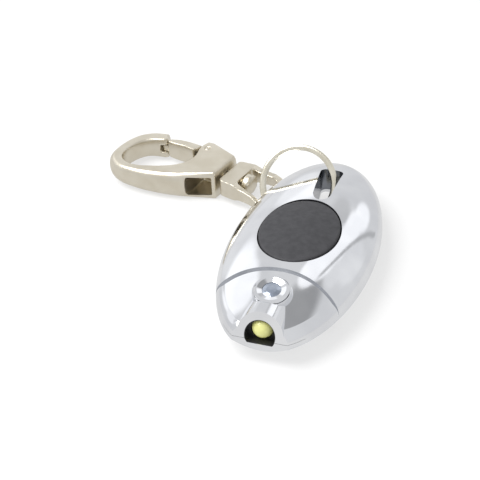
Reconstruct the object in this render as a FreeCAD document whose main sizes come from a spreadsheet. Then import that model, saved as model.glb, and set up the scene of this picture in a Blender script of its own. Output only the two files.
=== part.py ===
"""Keychain flashlight: an oval two-shell body with one lamp in its nose, a press button, two coin
cells, and a split ring through its tail that carries a swivel snap hook.

Frame: +Z up, nose towards -Y, tail towards +Y, millimetres. The origin is the middle of the flat
rest face on the underside, below the widest point of the body.
"""
import FreeCAD, Part
import math
import os
import re

import Sketcher
from FreeCAD import Placement, Rotation, Vector

os.makedirs("parts", exist_ok=True)
doc = FreeCAD.newDocument("keychain_flashlight")

# ---------------------------------------------------------------------------------------------
# Driving dimensions, in millimetres and degrees
# ---------------------------------------------------------------------------------------------
SIZES = {
    # body
    "half_width": 18.0,
    "half_length": 36.5,
    "nose_reach": 34.0,
    "seam_height": 5.6,
    "crease_height": 9.8,
    "crown_height": 14.25,
    "crown_inset": 2.0,
    "shell_wall": 1.3,
    "belly_inset": 12.0,
    "tail_lift": 4.8,
    "kick_start": 9.5,
    "kick_end": 15.5,
    "nose_seam_height": 6.7,
    "nose_lean": 2.3,
    "nose_wall": 4.3,
    "step_drop": 0.6,
    "step_radius": 26.5,
    "step_reach": 16.5,
    "barrel_radius": 5.5,
    # button
    "button_width": 19.2,
    "button_length": 24.6,
    "button_setback": 1.65,
    "button_shoulder": 13.9,
    "button_top": 15.0,
    "button_gap": 0.25,
    "button_travel": 0.8,
    "button_flange": 0.7,
    "button_wall": 1.5,
    "plunger_diameter": 4.0,
    "spring_wire": 0.5,
    "spring_diameter": 6.2,
    # lamp
    "lamp_height": 8.2,
    "lamp_diameter": 5.0,
    "lamp_flange": 0.4,
    "lamp_length": 8.6,
    "lamp_recess": 0.6,
    "lamp_window": 7.2,
    "lead_width": 0.5,
    "lead_pitch": 2.54,
    # jewel
    "jewel_setback": 24.1,
    "jewel_diameter": 8.2,
    "jewel_glass": 4.4,
    "jewel_tilt": 10.0,
    "jewel_sink": 0.6,
    # cells
    "cell_diameter": 20.0,
    "cell_thickness": 1.6,
    "cell_floor": 3.9,
    "carrier_wall": 0.9,
    "clamp_plate": 0.8,
    "blade_gap": 0.2,
    "sheet_metal": 0.3,
    # screws
    "screw_head": 3.0,
    "screw_shank": 1.5,
    "screw_side": 10.3,
    "screw_front": 17.8,
    "screw_rear": 11.8,
    "screw_seat": 3.9,
    "screw_length": 5.8,
    # slot and ring
    "slot_width": 6.0,
    "slot_nose_width": 4.3,
    "slot_side": 0.4,
    "slot_skew": 0.85,
    "slot_front": 12.6,
    "slot_rear": 28.0,
    "slot_wall": 0.8,
    "ring_diameter": 20.3,
    "ring_wire": 1.5,
    "ring_stack": 1.8,
    "ring_lean": 53.0,
    # snap hook and swivel
    "hook_turn": 15.0,
    "hook_thickness": 8.4,
    "hook_tip_thickness": 5.0,
    "gate_thickness": 7.0,
    "yoke_bar": 1.3,
    "yoke_base": 4.8,
    "post_diameter": 3.0,
    "post_head": 5.4,
    "gate_pin_diameter": 1.5,
    # fits
    "slip_gap": 0.08,
}

sheet = doc.addObject("Spreadsheet::Sheet", "Sizes")
for row, (alias, value) in enumerate(SIZES.items(), start=1):
    sheet.set("A%d" % row, alias)
    sheet.set("B%d" % row, str(value))
    sheet.setAlias("B%d" % row, alias)
doc.recompute()


def size(alias):
    """The value of one named cell of the sheet."""
    return float(sheet.get(alias))


ALIAS = re.compile(r"\b(%s)\b" % "|".join(sorted(SIZES, key=len, reverse=True)))


def bind(thing, prop, formula):
    """Bind a property to a formula of sheet aliases, or to a plain number."""
    if isinstance(formula, (int, float)):
        formula = repr(float(formula))
    thing.setExpression(prop, ALIAS.sub(r"Sizes.\1", formula))
    return thing


def place(thing, at=(0, 0, 0), turn=None):
    """Put a primitive somewhere; each coordinate is a number or a formula."""
    if turn is not None:
        thing.Placement = Placement(Vector(0, 0, 0), turn)
    for axis, formula in zip("xyz", at):
        bind(thing, "Placement.Base." + axis, formula)
    return thing


END_ALONG_Y = Rotation(Vector(0, 0, 1), 90)
TO_NOSE = Rotation(Vector(1, 0, 0), 90)
ALONG_X = Rotation(Vector(0, 1, 0), 90)


def box(name, at, length, width, height):
    """A block with its lowest corner at a place."""
    thing = doc.addObject("Part::Box", name)
    for prop, formula in (("Length", length), ("Width", width), ("Height", height)):
        bind(thing, prop, formula)
    return place(thing, at)


def rod(name, at, radius, height, turn=None):
    """A cylinder that starts at a place and runs up, or along the turned Z axis."""
    thing = doc.addObject("Part::Cylinder", name)
    bind(thing, "Radius", radius)
    bind(thing, "Height", height)
    return place(thing, at, turn)


def taper(name, at, lower, upper, height, turn=None):
    """A cone frustum from a lower to an upper radius."""
    thing = doc.addObject("Part::Cone", name)
    for prop, formula in (("Radius1", lower), ("Radius2", upper), ("Height", height)):
        bind(thing, prop, formula)
    return place(thing, at, turn)


def fuse(name, *things):
    thing = doc.addObject("Part::MultiFuse", name)
    thing.Shapes = list(things)
    return thing


def cut(name, base, *tools):
    """The base with one or more tools taken away."""
    thing = doc.addObject("Part::Cut", name)
    thing.Base = base
    thing.Tool = tools[0] if len(tools) == 1 else fuse(name + "_tools", *tools)
    return thing


def common(name, one, other):
    thing = doc.addObject("Part::MultiCommon", name)
    thing.Shapes = [one, other]
    return thing


def drawn(name, shape):
    """A shape made in code from the sheet's values."""
    thing = doc.addObject("Part::Feature", name)
    thing.Shape = shape
    return thing


def worth(formula):
    """The present value of a formula of sheet aliases."""
    return float(sheet.evalExpression(ALIAS.sub(r"Sizes.\1", str(formula))))


def ellipse_loft(name, sections, centre_y=0):
    """A solid skinned over level ellipses, each a (side radius, end radius, height) of formulas."""
    rings = []
    for section in sections:
        side, end, height = [worth(formula) for formula in section]
        centre = Vector(0, worth(centre_y), height)
        oval = Part.Ellipse(centre + Vector(0, end, 0), centre + Vector(side, 0, 0), centre)
        quarters = [Part.ArcOfEllipse(oval, turn * math.pi / 2, (turn + 1) * math.pi / 2).toShape()
                    for turn in range(4)]
        rings.append(Part.Wire(quarters))
    return drawn(name, Part.makeLoft(rings, True, True))


def across(name, corners):
    """A prism across the whole body from corners (y, z)."""
    reach = size("half_width") + 2
    points = [Vector(-reach, y, z) for y, z in corners]
    face = Part.Face(Part.makePolygon(points + points[:1]))
    return drawn(name, face.extrude(Vector(2 * reach, 0, 0)))


def rounded_outline(corners):
    """A closed level wire through corners (x, y, radius), each rounded by its radius."""
    edges = []
    points = [Vector(x, y, 0) for x, y, radius in corners]
    joints = []
    for index, (x, y, radius) in enumerate(corners):
        corner = points[index]
        back = (points[index - 1] - corner).normalize()
        ahead = (points[(index + 1) % len(points)] - corner).normalize()
        half = back.getAngle(ahead) / 2
        start = corner + back * (radius / math.tan(half))
        end = corner + ahead * (radius / math.tan(half))
        middle = corner + (back + ahead).normalize() * (radius / math.sin(half) - radius)
        joints.append((start, middle, end))
    for index, (start, middle, end) in enumerate(joints):
        edges.append(Part.LineSegment(joints[index - 1][2], start).toShape())
        edges.append(Part.Arc(start, middle, end).toShape())
    return Part.Wire(edges)


def slab(corners, low, high):
    """A level plate with a rounded outline, from one height to another."""
    plate = Part.Face(rounded_outline(corners)).extrude(Vector(0, 0, high - low))
    plate.translate(Vector(0, 0, low))
    return plate


COIL_SEAT = 0.06


def coil(mean_radius, wire, pitch, height):
    """A round-wire spring that stands just clear of Z = 0, below a given height."""
    path = Part.makeHelix(pitch, height - wire - 2 * COIL_SEAT, mean_radius)
    section = Part.Wire(Part.makeCircle(wire / 2, Vector(mean_radius, 0, 0), Vector(0, 1, 0)))
    spring = path.makePipeShell([section], True, True)
    spring.translate(Vector(0, 0, wire / 2 + COIL_SEAT))
    return spring


def turned(name, corners):
    """A body of revolution about its own Z axis, from corners (radius, height) of formulas."""
    body = doc.addObject("PartDesign::Body", name + "_body")
    plane = [item for item in body.Origin.OriginFeatures if item.Role == "XZ_Plane"][0]
    sketch = body.newObject("Sketcher::SketchObject", name + "_profile")
    sketch.AttachmentSupport = [(plane, "")]
    sketch.MapMode = "FlatFace"
    marks = [Vector(worth(radius), worth(height), 0) for radius, height in corners]
    for index, mark in enumerate(marks):
        sketch.addGeometry(Part.LineSegment(mark, marks[(index + 1) % len(marks)]))
    for index in range(len(marks)):
        sketch.addConstraint(Sketcher.Constraint("Coincident", index, 2, (index + 1) % len(marks), 1))
    for index, (mark, corner) in enumerate(zip(marks, corners)):
        for kind, value, formula, axis in (("DistanceX", mark.x, corner[0], -2),
                                           ("DistanceY", mark.y, corner[1], -1)):
            if value == 0:
                sketch.addConstraint(Sketcher.Constraint("PointOnObject", index, 1, axis))
                continue
            number = sketch.addConstraint(Sketcher.Constraint(kind, -1, 1, index, 1, value))
            bind(sketch, "Constraints[%d]" % number, formula)
    turn = body.newObject("PartDesign::Revolution", name + "_turn")
    turn.Profile = sketch
    turn.ReferenceAxis = (sketch, ["V_Axis"])
    turn.Angle = 360
    return body


NODES = []


def node(name, thing, at=None):
    """Name one finished piece; at is where a piece that is drawn in its own frame goes."""
    thing.Label = name
    if at is not None:
        thing.Placement = at.multiply(thing.Placement)
    NODES.append(thing)
    return thing


# ---------------------------------------------------------------------------------------------
# Outer form of the body
# ---------------------------------------------------------------------------------------------
CROWN_STEPS = (1.0, 0.95, 0.89, 0.82, 0.74, 0.65, 0.55, 0.43, 0.30, 0.14)
CROWN_POWER = 2.9
BELLY_STEPS = (0.0, 0.08, 0.18, 0.29, 0.41, 0.54, 0.68, 0.84, 1.0)
BELLY_POWER = 1.4
SKY = 30


def dome_sections(wall, drop, overrun=0):
    """The top shell's form: an upright band, a soft crease, and a crown of shrinking ellipses."""
    crease = "crease_height - %s" % drop
    steps = (("0", "seam_height - %s" % overrun),
             ("crown_inset * 0.15", "seam_height + (%s - seam_height) * 0.5" % crease),
             ("crown_inset * 0.6", "seam_height + (%s - seam_height) * 0.9" % crease))
    band = [("half_width - %s - %s" % (wall, inset), "half_length - %s - %s" % (wall, inset), height)
            for inset, height in steps]
    crown = [("(half_width - crown_inset - %s) * %s" % (wall, share),
              "(half_length - crown_inset - %s) * %s" % (wall, share),
              "%s + (crown_height - crease_height) * %s" % (crease, round(1 - share ** CROWN_POWER, 5)))
             for share in CROWN_STEPS]
    return band + crown


def belly_sections(wall):
    """The underside: level ellipses from the seam down to the flat rest face."""
    return [("half_width - %s - belly_inset * %s" % (wall, share),
             "half_length - %s - belly_inset * %s" % (wall, share),
             "%s + (seam_height - %s) * %s" % (wall, wall, round((1 - share) ** BELLY_POWER, 5)))
            for share in BELLY_STEPS]


seam = size("seam_height")
wall = size("shell_wall")
tail_end = size("half_length") + 5


def nose_waste(name):
    """What lies in front of the nose face, which is upright at first and then leans back."""
    face_y = -size("nose_reach")
    lean_y = face_y + size("nose_lean")
    lean_start = size("nose_seam_height")
    lean_end = size("crown_height") - 1
    return across(name, [(face_y, -1), (face_y, lean_start), (lean_y, lean_end), (lean_y, SKY),
                         (-tail_end, SKY), (-tail_end, -1)])


BARREL_LEVEL = "lamp_height - 0.5"

# The zone around the nose sits a step lower than the rest of the crown, inside a round step line.
step_zones = [rod(name, (0, "-step_reach - step_radius", -5), "step_radius", SKY)
              for name in ("step_zone", "step_zone_low")]
high_dome = cut("high_dome", ellipse_loft("dome", dome_sections("0", "0")), step_zones[0])
low_dome = common("low_dome", ellipse_loft("lowered", dome_sections("0", "step_drop")), step_zones[1])
stepped_dome = fuse("stepped_dome", high_dome, low_dome)
barrel_rod = rod("barrel_rod", (0, "-step_reach - 1", BARREL_LEVEL), "barrel_radius",
                 "nose_reach - step_reach - 1", TO_NOSE)
barrel = cut("barrel", barrel_rod, box("below_seam", (-20, "-half_length", -10), 40, 40, "seam_height + 10"))
JEWEL_TURN = Rotation(Vector(1, 0, 0), size("jewel_tilt"))
BOSS_HEIGHT, BOSS_TOP = 2.4, "crown_height - 0.95"


def jewel_place(depth):
    """A place on the jewel's tilted axis, some way below the top of its boss."""
    return (0, "-jewel_setback + (%s) * sin(jewel_tilt)" % depth,
            "%s - (%s) * cos(jewel_tilt)" % (BOSS_TOP, depth))


jewel_boss = taper("jewel_boss", jewel_place(BOSS_HEIGHT), "jewel_diameter / 2 + 0.75",
                   "jewel_diameter / 2 + 0.3", BOSS_HEIGHT, JEWEL_TURN)
top_form = cut("top_form", fuse("raised_dome", stepped_dome, barrel, jewel_boss), nose_waste("nose_waste"))

# The tail kicks up, so that the ring and the swivel can pass beneath it.
kick = across("tail_kick", [(size("kick_start"), -1), (size("kick_start"), 0),
                            (size("kick_end"), size("tail_lift")), (tail_end, size("tail_lift")),
                            (tail_end, -1)])
belly = cut("belly_form", ellipse_loft("belly", belly_sections("0")), nose_waste("nose_waste_low"), kick)

# The bottom shell stands higher at the nose, as a lip under the lamp window.
LIP_DEPTH = 3.4
lip_zone = box("lip_zone", (-20, "-nose_reach - 3", 0), 40, 3 + LIP_DEPTH, "nose_seam_height")
lip_zone_low = box("lip_zone_low", (-20, "-nose_reach - 3", 0), 40, 3 + LIP_DEPTH, "nose_seam_height")
bottom_form = fuse("bottom_form", belly, common("nose_lip", top_form, lip_zone))
upper_form = cut("upper_form", top_form, lip_zone_low)

# ---------------------------------------------------------------------------------------------
# What the shells are hollowed and pierced by
# ---------------------------------------------------------------------------------------------
SLOT_NOSE_ROUND, SLOT_TAIL_ROUND = 1.7, 1.4
WINDOW_SILL = "lamp_height - lamp_diameter / 2 - 0.1"
SCREW_PLACES = [(side * size("screw_side"), y)
                for y in (-size("screw_front"), size("screw_rear")) for side in (-1, 1)]


def tail_slot(name, margin, low, high):
    """An upright prism in the form of the tail slot, which narrows towards the nose on one side."""
    middle = size("slot_side")
    nose_middle = middle + size("slot_skew")
    half = size("slot_width") / 2 + margin
    nose_half = size("slot_nose_width") / 2 + margin
    front = size("slot_front") - margin
    rear = size("slot_rear") + margin
    return drawn(name, slab([(nose_middle - nose_half, front, SLOT_NOSE_ROUND + margin),
                             (nose_middle + nose_half, front, SLOT_NOSE_ROUND + margin),
                             (middle + half, rear, SLOT_TAIL_ROUND + margin),
                             (middle - half, rear, SLOT_TAIL_ROUND + margin)], low, high))


def columns(name, radius, low, high):
    """Four upright cylinders, one at each case screw."""
    return fuse(name, *[rod("%s_%d" % (name, index), (x, y, low), radius, "%s - (%s)" % (high, low))
                        for index, (x, y) in enumerate(SCREW_PLACES)])


def lamp_opening(name):
    """The half-round window in the nose: a round top over a nearly flat sill."""
    tube = rod(name + "_tube", (0, "-nose_reach + nose_wall + 2", BARREL_LEVEL), "lamp_window / 2",
               "nose_wall + 5", TO_NOSE)
    sill = box(name + "_sill", (-10, "-nose_reach - 3", 0), 20, 30, WINDOW_SILL)
    return cut(name, tube, sill)


def nose_block(name):
    """The region at the nose that stays solid round the lamp window."""
    return box(name, (-25, "-nose_reach + nose_wall - 15", -5), 50, 15, SKY)


TOP_BOSS, BOTTOM_BOSS = 2.2, 2.6
upper_void = fuse("upper_void", ellipse_loft("inner_dome", dome_sections("shell_wall", "shell_wall", 1)),
                  rod("inner_barrel", (0, "-step_reach - 2", BARREL_LEVEL), "barrel_radius - 1.6",
                      "nose_reach - step_reach - 2", TO_NOSE))
upper_hollow = cut("upper_hollow", upper_void, nose_block("nose_block"),
                   tail_slot("tunnel", size("slot_wall"), -1, SKY),
                   columns("top_bosses", TOP_BOSS, seam - 1, SKY))
carrier_base = size("cell_floor") - 0.7
lamp_foot = size("lamp_height") - 4
CELL_AXIS = (0, "-button_setback")
cradle = cut("cradle", rod("cradle_outside", CELL_AXIS + (0,), "cell_diameter / 2 + 0.4", carrier_base),
             rod("cradle_inside", CELL_AXIS + (0,), "cell_diameter / 2 - 1.2", carrier_base))
lamp_post = box("lamp_post", (-3, "-nose_reach + nose_wall - 0.1", 0), 6, 5.1, lamp_foot)
tail_floor = across("tail_floor", [(size("kick_start") - 1.5, -1), (size("kick_start") - 1.5, wall),
                                   (size("kick_end") - 1, size("tail_lift") + wall),
                                   (tail_end, size("tail_lift") + wall), (tail_end, -1)])
lower_hollow = cut("lower_hollow", ellipse_loft("inner_belly", belly_sections("shell_wall")),
                   nose_block("nose_block_low"),
                   tail_slot("tunnel_low", size("slot_wall"), -1, SKY),
                   columns("bottom_bosses", BOTTOM_BOSS, -1, SKY), tail_floor, cradle, lamp_post)


def button_prism(name, margin, low, high):
    """An upright oval prism in line with the button."""
    rim = doc.addObject("Part::Ellipse", name + "_rim")
    bind(rim, "MajorRadius", "button_length / 2 + %s" % margin)
    bind(rim, "MinorRadius", "button_width / 2 + %s" % margin)
    place(rim, CELL_AXIS + (low,), END_ALONG_Y)
    prism = doc.addObject("Part::Extrusion", name)
    prism.Base = rim
    prism.DirMode = "Custom"
    prism.Dir = Vector(0, 0, 1)
    prism.Solid = True
    bind(prism, "LengthFwd", "%s - (%s)" % (high, low))
    return prism


# ---------------------------------------------------------------------------------------------
# Shells
# ---------------------------------------------------------------------------------------------
slot_scoop = rod("slot_scoop", ("slot_side + slot_skew", "slot_front + 2.6", "crown_height - 1.35"),
                 "slot_nose_width / 2", 5, Rotation(Vector(1, 0, 0), 40))
jewel_seat = rod("jewel_seat", jewel_place("jewel_sink"), "jewel_diameter / 2 + slip_gap", 4, JEWEL_TURN)
node("top_shell", cut("top_shell_solid", upper_form, upper_hollow, tail_slot("slot", 0, -1, SKY),
                      button_prism("button_opening", "button_gap", 8, 20), lamp_opening("lamp_opening"),
                      jewel_seat, slot_scoop,
                      columns("pilot_holes", "screw_shank / 2 - 0.1", seam - 1,
                              "screw_seat + screw_length + 0.5")))
node("bottom_shell", cut("bottom_shell_solid", bottom_form, lower_hollow, tail_slot("slot_low", 0, -1, SKY),
                         lamp_opening("lamp_opening_low"),
                         columns("head_pockets", "screw_head / 2 + 0.15", -1, "screw_seat"),
                         columns("shank_holes", "screw_shank / 2 + 0.1", -1, seam + 1)))
SCREW_HEAD_HEIGHT, DRIVE_DEPTH, DRIVE_WIDTH = 1.0, 0.5, 0.45


def case_screw(x, y):
    """One case screw, head down, with a cross drive in its head."""
    seat = size("screw_seat")
    low = seat - SCREW_HEAD_HEIGHT
    head = Part.makeCylinder(size("screw_head") / 2, SCREW_HEAD_HEIGHT, Vector(x, y, low))
    shank = Part.makeCylinder(size("screw_shank") / 2, size("screw_length"), Vector(x, y, seat))
    span = size("screw_head") * 0.6
    for long, short in ((span, DRIVE_WIDTH), (DRIVE_WIDTH, span)):
        head = head.cut(Part.makeBox(long, short, DRIVE_DEPTH, Vector(x - long / 2, y - short / 2, low)))
    return head.fuse(shank)


node("case_screws", drawn("screws", Part.makeCompound([case_screw(x, y) for x, y in SCREW_PLACES])))

# ---------------------------------------------------------------------------------------------
# Button and its spring
# ---------------------------------------------------------------------------------------------
FLANGE_LOW, FLANGE_HIGH = 9.9, 10.9
DOME_STEPS = ((1.0, 0.0), (0.98, 0.22), (0.93, 0.42), (0.85, 0.60), (0.72, 0.78), (0.52, 0.92), (0.15, 1.0))
cap_top = ellipse_loft("cap_top", [("button_width / 2 * %s" % share, "button_length / 2 * %s" % share,
                                    "button_shoulder + (button_top - button_shoulder) * %s" % rise)
                                   for share, rise in DOME_STEPS], "-button_setback")
cap_block = fuse("cap_block", cap_top, button_prism("cap_side", "0", FLANGE_HIGH - 0.2, "button_shoulder"),
                 button_prism("cap_flange", "button_flange", FLANGE_LOW, FLANGE_HIGH))
cap_cup = cut("cap_cup", cap_block, button_prism("cap_hollow", "-button_wall", FLANGE_LOW - 1,
                                                 "button_shoulder - 0.5"))
deck_low = size("cell_floor") + 2 * size("cell_thickness") + 0.9
deck_top = deck_low + size("clamp_plate")
blade_low = size("cell_floor") + 2 * size("cell_thickness") + size("blade_gap")
plunger_end = blade_low + size("sheet_metal") + size("button_travel") + 0.05
plunger = rod("plunger", CELL_AXIS + (plunger_end,), "plunger_diameter / 2",
              "button_shoulder - 0.3 - %s" % plunger_end)
node("button_cap", fuse("button", cap_cup, plunger))
SPRING_TURNS = 4
spring_height = size("button_shoulder") - 0.55 - deck_top
node("button_spring", drawn("button_coil", coil(size("spring_diameter") / 2, size("spring_wire"),
                                                spring_height / SPRING_TURNS, spring_height)),
     Placement(Vector(0, -size("button_setback"), deck_top), Rotation()))

# ---------------------------------------------------------------------------------------------
# Cells, carrier and contacts
# ---------------------------------------------------------------------------------------------
CELL_PLAY = 0.1


def coin_cell(name, lift):
    """A coin cell with its smaller cap facing down."""
    cell = turned(name, [("0", "0"), ("cell_diameter / 2 - 1.2", "0"), ("cell_diameter / 2 - 1", "0.25"),
                         ("cell_diameter / 2", "0.35"), ("cell_diameter / 2", "cell_thickness"),
                         ("0", "cell_thickness")])
    return node(name, place(cell, CELL_AXIS + (lift,)))


coin_cell("coin_cell_lower", "cell_floor")
coin_cell("coin_cell_upper", "cell_floor + cell_thickness")
carrier_radius = "cell_diameter / 2 + %s + carrier_wall" % CELL_PLAY
BLADE_WIDTH, TAB_WIDTH = 4.0, 3.0
carrier_block = rod("carrier_block", CELL_AXIS + (carrier_base,), carrier_radius, deck_low - carrier_base)
node("battery_carrier",
     cut("carrier", carrier_block,
         rod("carrier_bore", CELL_AXIS + ("cell_floor - sheet_metal",),
             "cell_diameter / 2 + %s" % CELL_PLAY, 10),
         rod("carrier_hole", CELL_AXIS + (0,), 3, 10),
         box("blade_notch", (-BLADE_WIDTH / 2 - 0.1, "-button_setback - cell_diameter / 2 - 3", blade_low),
             BLADE_WIDTH + 0.2, 5, 5),
         box("tab_notch", (-TAB_WIDTH / 2 - 0.1, "-button_setback - cell_diameter / 2 - 3",
                           "cell_floor - sheet_metal"), TAB_WIDTH + 0.2, 5, "sheet_metal + 0.3")))
node("cell_clamp", cut("clamp", rod("clamp_disc", CELL_AXIS + (deck_low,), carrier_radius, "clamp_plate"),
                       rod("clamp_hole", CELL_AXIS + (0,), "plunger_diameter / 2 + 0.4", 20)))
TAB_REACH, BLADE_REACH = 3.4, 2.4
node("negative_contact",
     fuse("negative", rod("negative_disc", CELL_AXIS + ("cell_floor - sheet_metal",), 6, "sheet_metal"),
          box("negative_tab", (-TAB_WIDTH / 2, "-button_setback - cell_diameter / 2 - %s" % TAB_REACH,
                               "cell_floor - sheet_metal"), TAB_WIDTH, "cell_diameter / 2", "sheet_metal")))
blade_front = "-button_setback - cell_diameter / 2 - %s" % BLADE_REACH
blade_strip = box("blade_strip", (-BLADE_WIDTH / 2, blade_front, blade_low), BLADE_WIDTH,
                  "cell_diameter / 2 + %s" % BLADE_REACH, "sheet_metal")
blade_pad = rod("blade_pad", CELL_AXIS + (blade_low,), "plunger_diameter / 2 + 0.4", "sheet_metal")
node("switch_blade", fuse("blade", blade_strip, blade_pad))

# ---------------------------------------------------------------------------------------------
# Lamp: lens, core, leads and saddle
# ---------------------------------------------------------------------------------------------
lamp_back = -size("nose_reach") + size("lamp_recess") + size("lamp_length")
LAMP_HOME = Placement(Vector(0, lamp_back, size("lamp_height")), TO_NOSE)
LENS_STEPS = 8
core_bore, core_depth = "lamp_diameter / 2 - 0.7", "lamp_length - 1.6"
barrel_top = "lamp_length - lamp_diameter / 2"
lens_nose = [("lamp_diameter / 2 * cos(%s)" % angle, barrel_top + " + lamp_diameter / 2 * sin(%s)" % angle)
             for angle in [90.0 * step / LENS_STEPS for step in range(LENS_STEPS)]]
lens = turned("led_lens", [("0", core_depth), (core_bore, core_depth), (core_bore, "0"),
                           ("lamp_diameter / 2 + lamp_flange", "0"), ("lamp_diameter / 2 + lamp_flange", "1"),
                           ("lamp_diameter / 2", "1")] + lens_nose + [("0", "lamp_length")])
node("led_lens", lens, LAMP_HOME)
core = turned("led_core", [("0", "0"), (core_bore, "0"), (core_bore, "1"), ("0.9", "1"),
                           ("0.9", core_depth + " - 1"), (core_bore, core_depth + " - 0.7"),
                           (core_bore, core_depth), ("0", core_depth)])
node("led_phosphor", core, LAMP_HOME)


def led_lead(name, side, drop_y, foot):
    """A square lead from the back of the lamp, along and then down to its contact."""
    lead = size("lead_width")
    x = side * size("lead_pitch") / 2 - lead / 2
    level = size("lamp_height") - lead / 2
    run = box(name + "_run", (x, lamp_back, level), "lead_width", drop_y + lead - lamp_back, "lead_width")
    leg = box(name + "_leg", (x, drop_y, foot), "lead_width", "lead_width", level + lead - foot)
    return node(name, fuse(name + "_solid", run, leg))


cell_front = -size("button_setback") - size("cell_diameter") / 2
led_lead("led_anode_lead", 1, cell_front - BLADE_REACH + 0.1, blade_low + size("sheet_metal"))
led_lead("led_cathode_lead", -1, cell_front - TAB_REACH + 0.1, size("cell_floor"))
saddle_block = box("saddle_block", (-3.5, "-nose_reach + nose_wall + 0.4", lamp_foot), 7,
                   "lamp_recess + lamp_length - nose_wall - 1.7", "lamp_height - %s" % lamp_foot)
# A black collar fills the window round the lamp, a little behind the nose face.
COLLAR_SETBACK = 2.1
collar_tube = rod("collar_tube", (0, "-nose_reach + nose_wall + 0.9", BARREL_LEVEL),
                  "lamp_window / 2 - slip_gap", "nose_wall + 0.9 - %s" % COLLAR_SETBACK, TO_NOSE)
collar_sill = box("collar_sill", (-10, "-nose_reach", 0), 20, 10, WINDOW_SILL + " + slip_gap")
saddle_groove = rod("saddle_groove", (0, lamp_back, "lamp_height"), "lamp_diameter / 2 + slip_gap", 20,
                    TO_NOSE)
collar = cut("collar", collar_tube, collar_sill)
node("led_holder", cut("saddle", fuse("saddle_and_collar", saddle_block, collar), saddle_groove))

# ---------------------------------------------------------------------------------------------
# Jewel behind the nose
# ---------------------------------------------------------------------------------------------
bezel = turned("jewel_bezel", [("jewel_glass / 2", "0"), ("jewel_diameter / 2", "0"),
                               ("jewel_diameter / 2", "jewel_sink + 0.1"),
                               ("jewel_diameter / 2 - 0.35", "jewel_sink + 0.5"),
                               ("jewel_diameter / 2 - 0.75", "jewel_sink + 0.5"),
                               ("jewel_glass / 2", "jewel_sink + 0.1")])
node("jewel_bezel", place(bezel, jewel_place("jewel_sink"), JEWEL_TURN))
GLASS_RISE = 0.35
glass = "(jewel_glass / 2 - slip_gap / 2)"
jewel = turned("jewel_lens", [("0", "0"), (glass, "0"), (glass, "jewel_sink"),
                              (glass + " * 0.85", "jewel_sink + %s * 0.4" % GLASS_RISE),
                              (glass + " * 0.55", "jewel_sink + %s * 0.8" % GLASS_RISE),
                              ("0", "jewel_sink + %s" % GLASS_RISE)])
node("jewel_lens", place(jewel, jewel_place("jewel_sink"), JEWEL_TURN))

# ---------------------------------------------------------------------------------------------
# Split ring through the tail slot
# ---------------------------------------------------------------------------------------------
RING_CENTRE = Vector(-7.75, 23.9, 8.8)
RING_TURN = Rotation(Vector(1, 0, 0), size("ring_lean")) * Rotation(Vector(0, 0, 1), 250)
JOG_HALF = 17
TURN_GAP = 0.06


def wire_section(angle, level):
    """The section of one turn of the ring's wire, at an angle round the ring."""
    middle = (size("ring_diameter") - size("ring_wire")) / 2
    across_wire = size("ring_wire") / 2
    high = (size("ring_stack") / 2 - TURN_GAP) / 2
    ease = 0.22
    corners = [(across_wire, high - ease), (across_wire - ease, high), (ease - across_wire, high),
               (-across_wire, high - ease), (-across_wire, ease - high), (ease - across_wire, -high),
               (across_wire - ease, -high), (across_wire, ease - high)]
    points = [Vector(middle + out, 0, level + up) for out, up in corners]
    wire = Part.makePolygon(points + points[:1])
    wire.rotate(Vector(0, 0, 0), Vector(0, 0, 1), angle)
    return wire


def split_ring():
    """Two flat turns of wire, one on the other, joined by a short jog."""
    level = size("ring_stack") / 4
    sweep = 360 - 2 * JOG_HALF
    turns = [Part.Face(wire_section(JOG_HALF, side * level)).revolve(Vector(0, 0, 0), Vector(0, 0, 1), sweep)
             for side in (-1, 1)]
    sections = []
    for step in range(9):
        share = step / 8
        rise = share * share * (3 - 2 * share)
        sections.append(wire_section(-JOG_HALF + 2 * JOG_HALF * share, level * (2 * rise - 1)))
    jog = Part.makeLoft(sections, True, True)
    return turns[0].fuse([jog, turns[1]])


node("split_ring", drawn("ring", split_ring()), Placement(RING_CENTRE, RING_TURN))

# ---------------------------------------------------------------------------------------------
# Snap hook: its own frame has X along the swivel axis towards the ring and Z up
# ---------------------------------------------------------------------------------------------
HOOK_HOME = Placement(Vector(-29.2, 28.8, size("hook_thickness") / 2),
                      Rotation(Vector(0, 0, 1), -size("hook_turn")))
HOOK_REACH = 33.0
half_hook = size("hook_thickness") / 2
hook_taper = 1 - size("hook_tip_thickness") / size("hook_thickness")
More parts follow.
